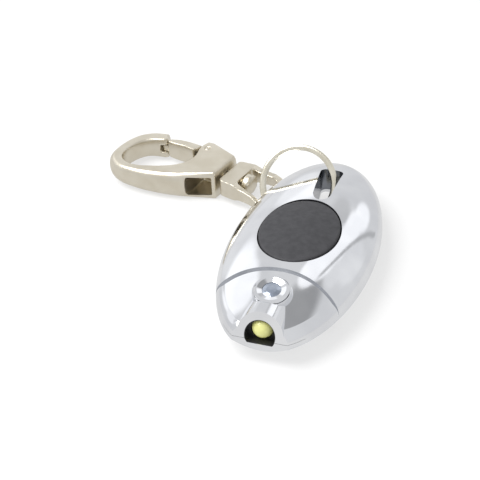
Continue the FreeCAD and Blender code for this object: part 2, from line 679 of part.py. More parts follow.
# Runs of ((x, y) at the widest girth, (x, y) at the flat face); two points make a straight edge.
HOOK_RUNS = (
    (((0.2, 5.0), (-0.2, 4.4)), ((0.2, -5.7), (-0.2, -5.1))),
    (((0.2, -5.7), (-0.2, -5.1)), ((-6.0, -9.4), (-5.9, -7.9)), ((-10.0, -11.4), (-9.8, -9.8)),
     ((-15.0, -12.9), (-14.6, -11.4)), ((-21.5, -13.9), (-21.0, -12.7)), ((-28.0, -13.3), (-26.8, -12.4)),
     ((-32.2, -9.3), (-30.6, -9.3)), ((-33.1, -3.6), (-31.5, -3.6)), ((-31.6, 2.4), (-30.3, 1.6)),
     ((-28.2, 5.6), (-27.4, 4.6)), ((-23.4, 7.0), (-23.2, 6.0))),
    (((-23.4, 7.0), (-23.2, 6.0)), ((-21.9, 4.2), (-22.0, 3.8))),
    (((-21.9, 4.2), (-22.0, 3.8)), ((-22.6, 2.9), (-22.8, 3.1))),
    (((-22.6, 2.9), (-22.8, 3.1)), ((-26.6, 0.9), (-26.9, 1.2)), ((-28.8, -3.4), (-29.0, -3.4)),
     ((-28.3, -8.2), (-28.6, -8.5)), ((-23.8, -10.6), (-23.8, -11.0)), ((-17.3, -8.8), (-17.3, -9.2)),
     ((-12.5, -5.9), (-12.3, -6.2)), ((-10.3, -2.9), (-10.0, -3.0)), ((-10.2, 0.3), (-9.9, 0.3)),
     ((-11.0, 3.2), (-10.8, 3.2))),
    (((-11.0, 3.2), (-10.8, 3.2)), ((-11.2, 5.8), (-11.0, 5.4))),
    (((-11.2, 5.8), (-11.0, 5.4)), ((-10.6, 7.8), (-10.5, 7.2))),
    (((-10.6, 7.8), (-10.5, 7.2)), ((-8.8, 8.0), (-8.8, 7.4))),
    (((-8.8, 8.0), (-8.8, 7.4)), ((0.2, 5.0), (-0.2, 4.4))),
)
GATE_RUNS = (
    (((-11.5, 6.1), (-11.7, 5.6)), ((-15.0, 6.3), (-15.0, 5.8)), ((-18.5, 6.1), (-18.5, 5.6)),
     ((-21.4, 5.2), (-21.3, 4.8))),
    (((-21.4, 5.2), (-21.3, 4.8)), ((-21.6, 3.3), (-21.4, 3.5))),
    (((-21.6, 3.3), (-21.4, 3.5)), ((-19.5, 3.1), (-19.5, 3.4)), ((-16.0, 3.2), (-16.0, 3.5)),
     ((-12.8, 2.7), (-12.8, 3.0))),
    (((-12.8, 2.7), (-12.8, 3.0)), ((-11.7, 4.2), (-11.9, 4.2))),
    (((-11.7, 4.2), (-11.9, 4.2)), ((-11.5, 6.1), (-11.7, 5.6))),
)
# How far the outline has moved from the widest girth to the flat face, and at what share of the height.
BEVEL_STEPS = ((-1.0, 1.0), (-0.86, 0.62), (-0.63, 0.25), (-0.34, 0.05), (0.34, 0.05), (0.63, 0.25),
               (0.86, 0.62), (1.0, 1.0))


def girth_wire(runs, ease, level):
    """One closed outline of the hook or gate, in a plane that closes in towards the hook's end."""
    edges = []
    for run in runs:
        points = []
        for widest, flat in run:
            x = widest[0] + (flat[0] - widest[0]) * ease
            y = widest[1] + (flat[1] - widest[1]) * ease
            points.append(Vector(x, y, level * (1 + hook_taper * x / HOOK_REACH)))
        if len(points) == 2:
            edges.append(Part.LineSegment(*points).toShape())
            continue
        curve = Part.BSplineCurve()
        curve.interpolate(points)
        edges.append(curve.toShape())
    return Part.Wire(edges)


def bevelled(runs, half_height):
    """A solid from an outline, with its edges rounded over towards both flat faces."""
    return Part.makeLoft([girth_wire(runs, ease, half_height * share) for share, ease in BEVEL_STEPS],
                         True, True)


PIN_X, PIN_Y = -9.0, 4.5
pin_radius = size("gate_pin_diameter") / 2
post_radius = size("post_diameter") / 2
CHEEK_SLOT_LOW, CHEEK_SLOT_HIGH = -1.5, 1.7
TONGUE_LOW, TONGUE_HIGH = -1.4, 0.6
hook = bevelled(HOOK_RUNS, half_hook)
window = Part.makeBox(6.15, 20, 5.4, Vector(-6.9, -21, -2.7))
post_pocket = Part.makeBox(3.25, 8, 5.4, Vector(-4.0, -5.5, -2.7))
cheek_slot = Part.makeBox(5.6, 9, CHEEK_SLOT_HIGH - CHEEK_SLOT_LOW, Vector(-12.4, 1.9, CHEEK_SLOT_LOW))
nose_notch = Part.makeBox(2.6, 6.3, 2.2, Vector(-23.9, -1.0, -1.1))
post_bore = Part.makeCylinder(post_radius + size("slip_gap"), 3, Vector(-2, 0, 0), Vector(1, 0, 0))
pin_bore = Part.makeCylinder(pin_radius, 8, Vector(PIN_X, PIN_Y, -4))
pierced_hook = hook.cut([window, post_pocket, cheek_slot, nose_notch, post_bore, pin_bore])
node("hook_body", drawn("hook", pierced_hook), HOOK_HOME)

gate_bar = bevelled(GATE_RUNS, size("gate_thickness") / 2)
tongue_height = TONGUE_HIGH - TONGUE_LOW
root_eye = Part.makeCylinder(1.7, tongue_height, Vector(PIN_X, PIN_Y, TONGUE_LOW))
root_bar = Part.makeBox(3.6, 2.6, tongue_height, Vector(-12.6, 3.3, TONGUE_LOW))
tip_tongue = Part.makeBox(2.2, 1.4, 1.8, Vector(-23.3, 3.4, -0.9))
pin_clearance = Part.makeCylinder(pin_radius + size("slip_gap") / 2, 8, Vector(PIN_X, PIN_Y, -4))
gate = gate_bar.fuse([root_eye, root_bar, tip_tongue]).cut(pin_clearance)
node("hook_gate", drawn("gate", gate), HOOK_HOME)
pin_height = 2 * half_hook * (1 + hook_taper * PIN_X / HOOK_REACH) - 0.1
node("gate_pin", turned("gate_pin", [("0", -pin_height / 2), ("gate_pin_diameter / 2 - 0.2", -pin_height / 2),
                                     ("gate_pin_diameter / 2", -pin_height / 2 + 0.2),
                                     ("gate_pin_diameter / 2", pin_height / 2 - 0.2),
                                     ("gate_pin_diameter / 2 - 0.2", pin_height / 2),
                                     ("0", pin_height / 2)]),
     HOOK_HOME * Placement(Vector(PIN_X, PIN_Y, 0), Rotation()))
GATE_WIRE = 0.28
gate_coil = coil(pin_radius + 0.1 + GATE_WIRE / 2, GATE_WIRE, 0.32, CHEEK_SLOT_HIGH - TONGUE_HIGH)
node("gate_spring", drawn("torsion_coil", gate_coil),
     HOOK_HOME * Placement(Vector(PIN_X, PIN_Y, TONGUE_HIGH), Rotation()))

# ---------------------------------------------------------------------------------------------
# Swivel: a post through the hook's end, and a yoke that hangs on the ring
# ---------------------------------------------------------------------------------------------
YOKE_START, YOKE_BASE_END = 1.0, 5.8
POST_NECK = 0.5
POST_HEAD_END = 8.8
post_head_start = YOKE_BASE_END + POST_NECK
node("swivel_post", turned("swivel_post", [("0", "-2.8"), ("2.2", "-2.8"), ("2.2", "-0.9"),
                                           ("post_diameter / 2", "-0.9"),
                                           ("post_diameter / 2", post_head_start),
                                           ("post_head / 2 - 0.3", post_head_start),
                                           ("post_head / 2", post_head_start + 0.4),
                                           ("post_head / 2", POST_HEAD_END - 1.3),
                                           ("post_head / 2 - 0.5", POST_HEAD_END - 0.55),
                                           ("post_head / 2 - 1.3", POST_HEAD_END - 0.12),
                                           ("0", POST_HEAD_END)]),
     HOOK_HOME * Placement(Vector(), ALONG_X))
half_base = size("yoke_base") / 2
YOKE_OUTLINE = ((YOKE_START, 5.2, 1.2), (YOKE_START, -5.2, 1.2), (9.5, -5.9, 4.0), (21.3, -8.7, 3.0),
                (14.9, 6.1, 2.2), (6.0, 5.9, 4.0))
YOKE_WINDOW = ((YOKE_BASE_END, 3.9, 1.0), (YOKE_BASE_END, -3.6, 1.0), (20.0, -7.2, 1.2), (13.3, 4.2, 1.2))
# The end bar is thin, and lies below the tail and above the lowest part of the ring's wire.
BAR_TOP = 4.45 - half_hook
bar_foot = BAR_TOP - size("yoke_bar")
YOKE_REACH, YOKE_SIDE = 24, 12
YOKE_PROFILE = ((YOKE_START, half_base), (YOKE_BASE_END, half_base), (7.6, 1.7), (12.0, 1.3), (14.5, BAR_TOP),
                (YOKE_REACH, BAR_TOP), (YOKE_REACH, bar_foot), (17.0, bar_foot), (12.0, -1.6), (7.6, -1.8),
                (YOKE_BASE_END, -half_base), (YOKE_START, -half_base))


def yoke():
    """A loop of bar that is thick at its base and thins out to its end bar."""
    loop = slab(YOKE_OUTLINE, -half_base, half_base).cut(slab(YOKE_WINDOW, -half_base, half_base))
    points = [Vector(x, -YOKE_SIDE, z) for x, z in YOKE_PROFILE]
    side = Part.Face(Part.makePolygon(points + points[:1])).extrude(Vector(0, 2 * YOKE_SIDE, 0))
    bore = Part.makeCylinder(post_radius, YOKE_BASE_END, Vector(), Vector(1, 0, 0))
    return loop.common(side).cut(bore)


node("swivel_yoke", drawn("yoke_loop", yoke()), HOOK_HOME)

# ---------------------------------------------------------------------------------------------
# Check and write
# ---------------------------------------------------------------------------------------------
doc.recompute()
for thing in doc.Objects:
    if "Invalid" in thing.State or "Error" in thing.State:
        raise RuntimeError("%s did not build: %s" % (thing.Label, thing.State))
for piece in NODES:
    if piece.Shape.isNull() or not piece.Shape.isValid():
        raise RuntimeError("%s has no sound shape" % piece.Label)
for piece in NODES:
    piece.Shape.exportStep("parts/%s.step" % piece.Label)
    print("%-18s solids %d  volume %8.2f" % (piece.Label, len(piece.Shape.Solids), piece.Shape.Volume))
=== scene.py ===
"""Looks of a keychain flashlight: an oval chromed body with a nose lamp, a press button and a jewel,
and a split ring, swivel and snap hook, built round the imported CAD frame.

Pieces are modelled in millimetres and brought down to metres when they are finished.
"""

import math
from types import SimpleNamespace

import bpy
from bpy.props import FloatProperty, FloatVectorProperty, PointerProperty
from mathutils import Matrix, Vector
from mathutils.geometry import interpolate_bezier


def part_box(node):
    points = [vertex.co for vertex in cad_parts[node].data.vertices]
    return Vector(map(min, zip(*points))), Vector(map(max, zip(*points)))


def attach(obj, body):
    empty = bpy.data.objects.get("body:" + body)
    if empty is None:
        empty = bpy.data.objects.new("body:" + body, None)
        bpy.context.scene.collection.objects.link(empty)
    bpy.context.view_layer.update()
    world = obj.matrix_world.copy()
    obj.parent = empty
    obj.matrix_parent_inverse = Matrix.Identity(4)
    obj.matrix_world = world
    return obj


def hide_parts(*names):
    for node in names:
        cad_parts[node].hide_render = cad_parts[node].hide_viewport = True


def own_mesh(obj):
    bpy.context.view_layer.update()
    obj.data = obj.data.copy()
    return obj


bl_info = {
    "name": "Keychain flashlight",
    "version": (1, 0, 0),
    "blender": (4, 5, 0),
    "location": "View3D > Sidebar > Flashlight",
    "description": "Models the visible pieces of a keychain flashlight round its CAD frame",
    "category": "Add Mesh",
}

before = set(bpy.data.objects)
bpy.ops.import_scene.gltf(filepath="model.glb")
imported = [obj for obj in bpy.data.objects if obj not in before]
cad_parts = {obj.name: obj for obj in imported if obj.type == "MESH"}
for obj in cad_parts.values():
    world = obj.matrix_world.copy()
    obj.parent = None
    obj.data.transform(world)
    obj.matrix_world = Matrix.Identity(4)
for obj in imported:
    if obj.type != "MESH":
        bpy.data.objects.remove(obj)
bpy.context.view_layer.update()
MM = 0.001


# ---- Sizes and colours that a user would change ----
def linear(hex_colour):
    """An sRGB hex colour as linear red, green and blue."""
    parts = [int(hex_colour[i:i + 2], 16) / 255 for i in (1, 3, 5)]
    return tuple(c / 12.92 if c <= 0.04045 else ((c + 0.055) / 1.055) ** 2.4 for c in parts)


def length(label, text, millimetres):
    """A size that a user can change."""
    return FloatProperty(name=label, description=text, default=millimetres * MM, unit="LENGTH", precision=5)


def angle(label, text, degrees):
    """An angle that a user can change."""
    return FloatProperty(name=label, description=text, default=math.radians(degrees), subtype="ANGLE")


def hue(label, text, hex_colour):
    """A colour that a user can change."""
    return FloatVectorProperty(name=label, description=text, subtype="COLOR", min=0, max=1,
                               default=linear(hex_colour))


class FLASHLIGHT_PG_body(bpy.types.PropertyGroup):
    half_width: length("Half width", "Half of the body's width", 18)
    half_length: length("Half length", "Half of the body's length, as if the nose weren't cut off", 36.5)
    nose_reach: length("Nose reach", "From the middle to the foot of the nose face", 34)
    seam_height: length("Seam height", "Height of the line between the two shells", 5.6)
    crease_height: length("Crease height", "Height at which the upright band rolls into the crown", 9.8)
    crown_height: length("Crown height", "Height of the crown's top", 14.25)
    shell_wall: length("Wall", "Thickness of the shells", 1.3)
    belly_inset: length("Belly inset", "How far the underside draws in down to the rest face", 12)
    tail_lift: length("Tail lift", "Height of the kicked-up underside at the tail", 4.8)
    step_drop: length("Step", "How much lower the zone round the nose sits", 0.6)
    step_radius: length("Step radius", "Radius of the line where that zone starts", 26.5)
    step_reach: length("Step reach", "From the middle to that line", 16.5)
    barrel_radius: length("Barrel radius", "Radius of the barrel over the lamp", 5.5)
    slot_width: length("Slot width", "Width of the slot at the very tail", 6)
    slot_nose_width: length("Slot front width", "Width of the slot at its front end", 4.3)
    slot_side: length("Slot offset", "How far the slot's tail end lies to the side", 0.4)
    slot_skew: length("Slot skew", "How much further its front end lies to the side", 0.85)
    slot_front: length("Slot front", "Where the slot starts", 12.6)
    slot_rear: length("Slot rear", "Where the slot ends", 28)


class FLASHLIGHT_PG_button(bpy.types.PropertyGroup):
    width: length("Width", "Across the button", 19.2)
    length: length("Length", "Along the button", 24.6)
    setback: length("Setback", "How far the button sits towards the nose", 1.65)
    flange: length("Flange", "How far its hidden flange stands out", 0.7)
    shoulder: length("Shoulder", "Height at which its top starts", 13.9)
    top: length("Top", "Height of its top", 15)
    gap: length("Gap", "Clear space round it", 0.25)


class FLASHLIGHT_PG_ring(bpy.types.PropertyGroup):
    diameter: length("Diameter", "Outside diameter of the split ring", 20.3)
    wire: length("Wire", "Width of its flat wire", 1.5)
    stack: length("Stack", "Height of its two turns", 1.8)
    lean: angle("Lean", "How steeply it leans in the slot", 53)


class FLASHLIGHT_PG_hook(bpy.types.PropertyGroup):
    thickness: length("Thickness", "Of the hook at its swivel end", 8.4)
    tip_thickness: length("Tip thickness", "Of the hook at its far end", 5)
    gate_thickness: length("Gate thickness", "Of the lever that closes its mouth", 7)
    turn: angle("Turn", "How far the hook points away from straight across", 15)


class FLASHLIGHT_PG_colours(bpy.types.PropertyGroup):
    chrome: hue("Chrome", "Bright plate on the body", "#ecedef")
    chrome_shade: hue("Chrome shade", "Its slightly duller patches", "#e1e2e5")
    nickel: hue("Nickel", "Plate on the hook and swivel", "#e0d9c9")
    nickel_shade: hue("Nickel shade", "Its slightly duller patches", "#d6cebc")
    button: hue("Button", "Soft plastic of the button", "#434346")
    button_shade: hue("Button shade", "Its rubbed patches", "#3b3b3e")
    phosphor: hue("Phosphor", "Pale face of the lamp", "#ecec96")
    floor: hue("Floor", "What the light stands on", "#f4f4f4")


class FLASHLIGHT_PG_all(bpy.types.PropertyGroup):
    body: PointerProperty(type=FLASHLIGHT_PG_body)
    button: PointerProperty(type=FLASHLIGHT_PG_button)
    ring: PointerProperty(type=FLASHLIGHT_PG_ring)
    hook: PointerProperty(type=FLASHLIGHT_PG_hook)
    colours: PointerProperty(type=FLASHLIGHT_PG_colours)


def sizes(group):
    """One group's lengths in the millimetres that pieces are modelled in, and its angles as they are."""
    part = getattr(bpy.context.scene.flashlight, group)
    kinds = part.bl_rna.properties
    return SimpleNamespace(**{name: getattr(part, name) / (MM if kinds[name].unit == "LENGTH" else 1)
                              for name in part.__annotations__})


# ---- Modelling helpers, in millimetres ----
def clear_selection():
    """Nothing is selected afterwards, so that an operator acts only on what is added next."""
    bpy.ops.object.select_all(action="DESELECT")


def settle(piece):
    """Leaves one piece selected and active, with its place and turn in its mesh."""
    clear_selection()
    piece.select_set(True)
    bpy.context.view_layer.objects.active = piece
    bpy.ops.object.transform_apply(location=True, rotation=True, scale=True)
    return piece


def opened(piece):
    """Opens one piece in edit mode, with all of it selected."""
    settle(piece)
    bpy.ops.object.mode_set(mode="EDIT")
    bpy.ops.mesh.select_all(action="SELECT")
    return piece


def recalculate(piece):
    """Faces of a closed mesh point outwards."""
    opened(piece)
    bpy.ops.mesh.normals_make_consistent(inside=False)
    bpy.ops.object.mode_set(mode="OBJECT")
    return piece


def oval_stack(rings, centre_y=0, points=180):
    """A closed solid skinned over level ovals, each (half width, half length, height), from below."""
    clear_selection()
    wide, long, height = rings[0]
    bpy.ops.mesh.primitive_circle_add(vertices=points, radius=1, fill_type="NGON",
                                      location=(0, centre_y, height))
    piece = opened(bpy.context.object)
    bpy.ops.transform.resize(value=(wide, long, 1), center_override=(0, centre_y, height))
    for next_wide, next_long, next_height in rings[1:]:
        bpy.ops.mesh.extrude_region_move(TRANSFORM_OT_translate={"value": (0, 0, next_height - height)})
        bpy.ops.transform.resize(value=(next_wide / wide, next_long / long, 1),
                                 center_override=(0, centre_y, next_height))
        wide, long, height = next_wide, next_long, next_height
    bpy.ops.object.mode_set(mode="OBJECT")
    return recalculate(piece)


def rod(radius, start, end, points=96, far_radius=None):
    """A cylinder between two points, or a cone where the far end has its own radius."""
    clear_selection()
    start, end = Vector(start), Vector(end)
    turn = (end - start).to_track_quat("Z", "Y").to_euler()
    bpy.ops.mesh.primitive_cone_add(vertices=points, radius1=radius, depth=(end - start).length,
                                    radius2=radius if far_radius is None else far_radius,
                                    location=(start + end) / 2, rotation=turn)
    return settle(bpy.context.object)


def block(low, high):
    """A box from its lowest to its highest corner."""
    clear_selection()
    low, high = Vector(low), Vector(high)
    bpy.ops.mesh.primitive_cube_add(size=1, location=(low + high) / 2)
    bpy.context.object.scale = high - low
    return settle(bpy.context.object)


def prism(outline, way):
    """A polygon of points pushed along a vector."""
    clear_selection()
    bpy.ops.mesh.primitive_circle_add(vertices=len(outline), fill_type="NGON")
    piece = settle(bpy.context.object)
    for vertex, point in zip(piece.data.vertices, outline):
        vertex.co = point
    opened(piece)
    bpy.ops.mesh.extrude_region_move(TRANSFORM_OT_translate={"value": way})
    bpy.ops.object.mode_set(mode="OBJECT")
    return recalculate(piece)


def across(corners, reach=20):
    """A prism across the whole body from corners (y, z)."""
    return prism([(-reach, y, z) for y, z in corners], (2 * reach, 0, 0))


def rounded(corners, steps=8):
    """A closed level outline through corners (x, y, radius), with each corner rounded."""
    points = []
    spots = [Vector((x, y)) for x, y, radius in corners]
    for index, corner in enumerate(spots):
        radius = corners[index][2]
        back = (spots[index - 1] - corner).normalized()
        ahead = (spots[(index + 1) % len(spots)] - corner).normalized()
        half = back.angle(ahead) / 2
        centre = corner + (back + ahead).normalized() * (radius / math.sin(half))
        start = corner + back * (radius / math.tan(half)) - centre
        sweep = start.angle_signed(corner + ahead * (radius / math.tan(half)) - centre)
        for step in range(steps + 1):
            points.append(centre + Matrix.Rotation(-sweep * step / steps, 2) @ start)
    return points


def skin(sections):
    """A closed solid skinned through loops of equally many points, and capped at both ends."""
    count = len(sections[0])
    points = [tuple(point) for section in sections for point in section]
    faces = [list(range(count)), list(range(len(points) - count, len(points)))]
    for row in range(0, len(points) - count, count):
        for index in range(count):
            ahead = (index + 1) % count
            faces.append([row + index, row + ahead, row + count + ahead, row + count + index])
    mesh = bpy.data.meshes.new("skin")
    mesh.from_pydata(points, [], faces)
    piece = bpy.data.objects.new("skin", mesh)
    bpy.context.scene.collection.objects.link(piece)
    return recalculate(piece)


def curve_through(points, steps):
    """Points along a smooth curve through the given ones; two points make a straight line."""
    ends = [points[0], *points, points[-1]]
    line = []
    for before, start, end, after in zip(ends, ends[1:], ends[2:], ends[3:]):
        span = (end - start).length
        lead_in = (end - before).normalized() * span / 3
        lead_out = (after - start).normalized() * span / 3
        line += interpolate_bezier(start, start + lead_in, end - lead_out, end, steps)[:-1]
    return line


def soften(piece, grain, passes):
    """Rounds every edge of a cast piece a little, as tumbling does. The grain is in millimetres."""
    settle(piece)
    remesh = piece.modifiers.new("Grain", "REMESH")
    remesh.mode = "VOXEL"
    remesh.voxel_size = grain
    bpy.ops.object.modifier_apply(modifier=remesh.name)
    tumbled = piece.modifiers.new("Tumbled", "SMOOTH")
    tumbled.iterations = passes
    bpy.ops.object.modifier_apply(modifier=tumbled.name)
    return piece


def join_by(operation, piece, *tools):
    """Unites a piece with, or cuts it by, or keeps only what it shares with, some tools."""
    for tool in tools:
        settle(piece)
        modifier = piece.modifiers.new(operation.title(), "BOOLEAN")
        modifier.operation = operation
        modifier.solver = "MANIFOLD"
        modifier.object = tool
        bpy.ops.object.modifier_apply(modifier=modifier.name)
        bpy.data.objects.remove(tool)
    return piece


def copy_of(piece):
    """A second piece with its own mesh."""
    twin = piece.copy()
    twin.data = piece.data.copy()
    bpy.context.scene.collection.objects.link(twin)
    return twin


def place(piece, home):
    """Moves a finished shape from its own frame to its place, which goes into its mesh."""
    piece.matrix_world = home
    return settle(piece)


def finish_piece(piece, name, body, finish, nodes, sharp=40):
    """Brings a piece down to metres, gives it its finish, and puts it on its body for its CAD nodes.

    Edges that turn by more than the sharp angle, in degrees, stay crisp."""
    piece.name = piece.data.name = name
    piece.scale = (MM, MM, MM)
    settle(piece)
    bpy.ops.object.shade_smooth_by_angle(angle=math.radians(sharp))
    piece.data.materials.clear()
    piece.data.materials.append(FINISHES[finish])
    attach(piece, body)
    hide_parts(*nodes)
    return piece


# ---- Finishes ----
def add(tree, kind, settings=None, links=None):
    """Adds one node with its settings, and links its inputs, by name or number, to other nodes' outputs."""
    node = tree.nodes.new(kind)
    for name, value in (settings or {}).items():
        if isinstance(name, int) or name in node.inputs:
            node.inputs[name].default_value = value
        else:
            setattr(node, name, value)
    for name, (source, output) in (links or {}).items():
        tree.links.new(source.outputs[output], node.inputs[name])
    return node


def rgba(colour):
    """A colour or its sRGB hex, with full alpha, as sockets want it."""
    return (*(linear(colour) if isinstance(colour, str) else colour), 1)


def per_mm(size):
    """A texture scale at which one feature is about this many millimetres across."""
    return 1 / (size * MM)


def surface(name, light, shade, patch, grain, bump, roughness, settings, stretch=(1, 1, 1)):
    """A solid finish: two close colours in soft patches, and a fine grain in its relief and gloss.

    The patch and the grain are the widths of their features and the bump is the grain's depth, all in
    millimetres; roughness goes from its first to its second value over the grain; a stretch below 1
    draws the grain out along that axis."""
    material = bpy.data.materials.new(name)
    material.use_nodes = True
    tree = material.node_tree
    tree.nodes.clear()
    spot = add(tree, "ShaderNodeTexCoord")
    drawn = add(tree, "ShaderNodeMapping", {"Scale": stretch}, {"Vector": (spot, "Object")})
    patches = add(tree, "ShaderNodeTexNoise", {"Scale": per_mm(patch), "Detail": 2},
                  {"Vector": (spot, "Object")})
    tint = add(tree, "ShaderNodeValToRGB", links={"Fac": (patches, "Fac")})
    for stop, (position, colour) in zip(tint.color_ramp.elements, ((0.35, shade), (0.65, light))):
        stop.position, stop.color = position, rgba(colour)
    fine = add(tree, "ShaderNodeTexNoise", {"Scale": per_mm(grain), "Detail": 3},
               {"Vector": (drawn, "Vector")})
    smoothest, roughest = roughness
    gloss = add(tree, "ShaderNodeMapRange", {"To Min": smoothest, "To Max": roughest},
                {"Value": (fine, "Fac")})
    relief = add(tree, "ShaderNodeBump", {"Strength": 1, "Distance": bump * MM}, {"Height": (fine, "Fac")})
    shader = add(tree, "ShaderNodeBsdfPrincipled", settings,
                 {"Base Color": (tint, "Color"), "Roughness": (gloss, "Result"),
                  "Normal": (relief, "Normal")})
    add(tree, "ShaderNodeOutputMaterial", links={"Surface": (shader, "BSDF")})
    return material


def make_finishes(colours):
    """Every finish of the light, named for what it is."""
    metal = {"Metallic": 1.0}
    # A faint painted glow: the lamp is unlit, and this light brightens it in its shaded window.
    painted_glow = {"Transmission Weight": 0.15, "IOR": 1.5, "Emission Color": rgba("#e8e89a"),
                 "Emission Strength": 0.05}
    rows = {
        # Chrome plate over moulded ABS: mirror-bright, with the mould's long soft waviness.
        "chrome": ("chrome_plated_abs", colours.chrome, colours.chrome_shade, 9, 2.5, 0.004,
                   (0.05, 0.11), metal),
        # The same plate, darker and with a softer mirror: painted shade on the slot's walls.
        "slot_shade_chrome": ("painted_slot_shade", "#83868b", "#6d7075", 4, 1.5, 0.004, (0.12, 0.22), metal),
        # The same plate, a little darker and softer: painted shade on the step's upright wall.
        "step_shade_chrome": ("painted_step_shade", "#c9cbcf", "#b5b8bd", 4, 1.5, 0.004, (0.1, 0.2), metal),
        # Nickel plate over die-cast zinc, tumbled smooth: a warm, soft gloss.
        "nickel": ("nickel_plated_zinc", colours.nickel, colours.nickel_shade, 5, 0.5, 0.0012,
                   (0.27, 0.38), metal),
        # Nickel-plated spring wire, drawn and tumbled: brighter than the castings.
        "wire": ("nickel_plated_wire", "#ebe6d6", "#dfd9c7", 3, 0.4, 0.001, (0.14, 0.26), metal),
        # Soft-touch moulded plastic: matt, with its spark-eroded grain drawn as coarse as it needs to show.
        "button": ("soft_touch_plastic", colours.button, colours.button_shade, 1.6, 0.35, 0.02, (0.5, 0.66),
                   {"Specular IOR Level": 0.35}, (0.35, 1, 1)),
        # Black moulded ABS: an even, half-matt skin that hardly lights up.
        "black_abs": ("black_moulded_abs", "#202022", "#1a1a1b", 3, 0.3, 0.01, (0.4, 0.55), {}),
        # Hot-dipped tin on steel wire: a pale grey, slightly cloudy gloss.
        "tinned": ("tinned_steel", "#c9c9c4", "#b2b2ac", 1, 0.2, 0.002, (0.2, 0.35), metal),
        # Rolled brass strip: warm yellow, with fine streaks along the rolling.
        "brass": ("rolled_brass", "#d2b06a", "#bf9c58", 2, 0.3, 0.002, (0.2, 0.34), metal, (0.1, 1, 1)),
        # Pressed, nickel-plated steel cans of the cells: bright and nearly neutral.
        "can": ("nickel_plated_can", "#cfcfd0", "#bcbcbe", 3, 0.3, 0.002, (0.2, 0.32), metal),
        # Bare spring steel: a darker, drawn grey.
        "spring": ("spring_steel", "#b4b3b0", "#9d9c99", 1, 0.2, 0.001, (0.22, 0.36), metal),
        # Bright zinc plate on the screws: a cool, slightly rough shine.
        "zinc": ("zinc_plated_steel", "#b9bcbf", "#a3a6aa", 1, 0.2, 0.002, (0.25, 0.4), metal),
        # Phosphor under clear epoxy: chalky, with soft patches of slightly deeper yellow.
        "phosphor": ("lamp_phosphor", colours.phosphor, "#dede84", 1.2, 0.15, 0.01, (0.55, 0.7), {}),
        # Water-clear moulded epoxy, tinted by the phosphor behind it, with a faint painted glow.
        "epoxy": ("clear_epoxy", "#f0f0a4", "#e6e694", 2, 0.6, 0.002, (0.12, 0.2), painted_glow),
        # Smoked acrylic: a small dark window with a polished face.
        "smoked": ("smoked_acrylic", "#aab2bf", "#8c95a4", 2, 0.8, 0.004, (0.08, 0.16),
                   {"Metallic": 0.55, "Coat Weight": 0.6}),
    }
    return {finish: surface(*row) for finish, row in rows.items()}


# Filled by main, once the colours are registered.
FINISHES = {}

CAD_FINISHES = {
    "case_screws": "zinc", "coin_cell_lower": "can", "coin_cell_upper": "can", "battery_carrier": "black_abs",
    "cell_clamp": "black_abs", "negative_contact": "brass", "switch_blade": "brass", "led_lens": "epoxy",
    "led_phosphor": "phosphor", "led_anode_lead": "tinned", "led_cathode_lead": "tinned",
    "jewel_bezel": "chrome", "jewel_lens": "smoked", "gate_pin": "nickel", "gate_spring": "spring",
}


# ---- Body shells ----
CROWN_INSET = 2.0       # from the body's outline to the foot of the crown's curve
CROWN_POWER = 2.9       # how square-shouldered that curve is
BAND_END = 2.3          # from the outline to where the upright band meets the crown
GROOVE = 0.12           # half the width of the line between the shells
SKY = 30                # a height above the whole object
WINDOW_HEIGHT = 7.7     # middle of the lamp window's round top, and of the barrel
WINDOW_RADIUS = 3.6
SILL = 5.6              # height of the window's flat foot
LAMP_HEIGHT = 8.2       # axis of the lamp
FACE_CORNERS = ((0, -1), (0, 6.7), (2.3, 13.25))    # the nose face's slope, from its foot up
JEWEL_TOP = Vector((0, -24.1, 13.3))
JEWEL_AXIS = Vector((0, -math.sin(math.radians(10)), math.cos(math.radians(10))))
SCREW_SIDE = 10.3
SCREW_ROWS = (-17.8, 11.8)


def dome_rings(body, wall=0, drop=0, overrun=0):
    """Rings of the upper form: an upright band that rolls over into a crown of shrinking ovals."""
    half_width, half_length, seam = body.half_width, body.half_length, body.seam_height
    crease, crown = body.crease_height, body.crown_height
    across_crown, along_crown = half_width - CROWN_INSET, half_length - CROWN_INSET

    def crown_level(share):
        return crease + (crown - crease) * (1 - share ** CROWN_POWER)

    end_share = (half_width - BAND_END) / across_crown
    slope = (crown - crease) * CROWN_POWER * end_share ** (CROWN_POWER - 1) / across_crown
    end = crown_level(end_share)
    # The band's profile: upright at the seam, and in line with the crown where it meets it.
    band = interpolate_bezier(Vector((0, seam)), Vector((0, seam + 2.9)),
                              Vector((BAND_END - 1.2, end - 1.2 * slope)), Vector((BAND_END, end)), 15)
    rings = []
    for inset, level in band:
        along = half_length - inset * (half_length - along_crown * end_share) / BAND_END
        rings.append((half_width - inset, along, level))
    for step in range(1, 31):
        share = end_share * math.cos(math.pi / 2 * step / 31)
        rings.append((across_crown * share, along_crown * share, crown_level(share)))
    fall = [drop * min(1, (level - seam) / (crease - seam)) for wide, long, level in rings]
    rings = [(wide - wall, long - wall, level - wall - lowered)
             for (wide, long, level), lowered in zip(rings, fall) if wide > wall + 1]
    if overrun:
        wide, long, level = rings[0]
        rings[0] = (wide, long, seam)
        return [(wide, long, seam - overrun)] + rings
    groove = [(half_width - GROOVE, half_length - GROOVE, seam), (half_width, half_length, seam + GROOVE)]
    return groove + rings[1:]


def belly_rings(body, wall=0):
    """Rings of the underside, from the flat rest face up to the seam."""
    half_width, half_length = body.half_width, body.half_length
    seam, inset = body.seam_height, body.belly_inset
    rings = []
    for step in range(25):
        share = 1 - step / 24
        drawn_in = inset * share ** 1.12
        rings.append((half_width - wall - drawn_in, half_length - wall - drawn_in,
                      wall + (seam - wall) * (1 - share) ** 1.4))
    if wall:
        return rings
    return rings[:-1] + [(half_width - 0.02, half_length - 0.02, seam - GROOVE),
                         (half_width - GROOVE, half_length - GROOVE, seam)]


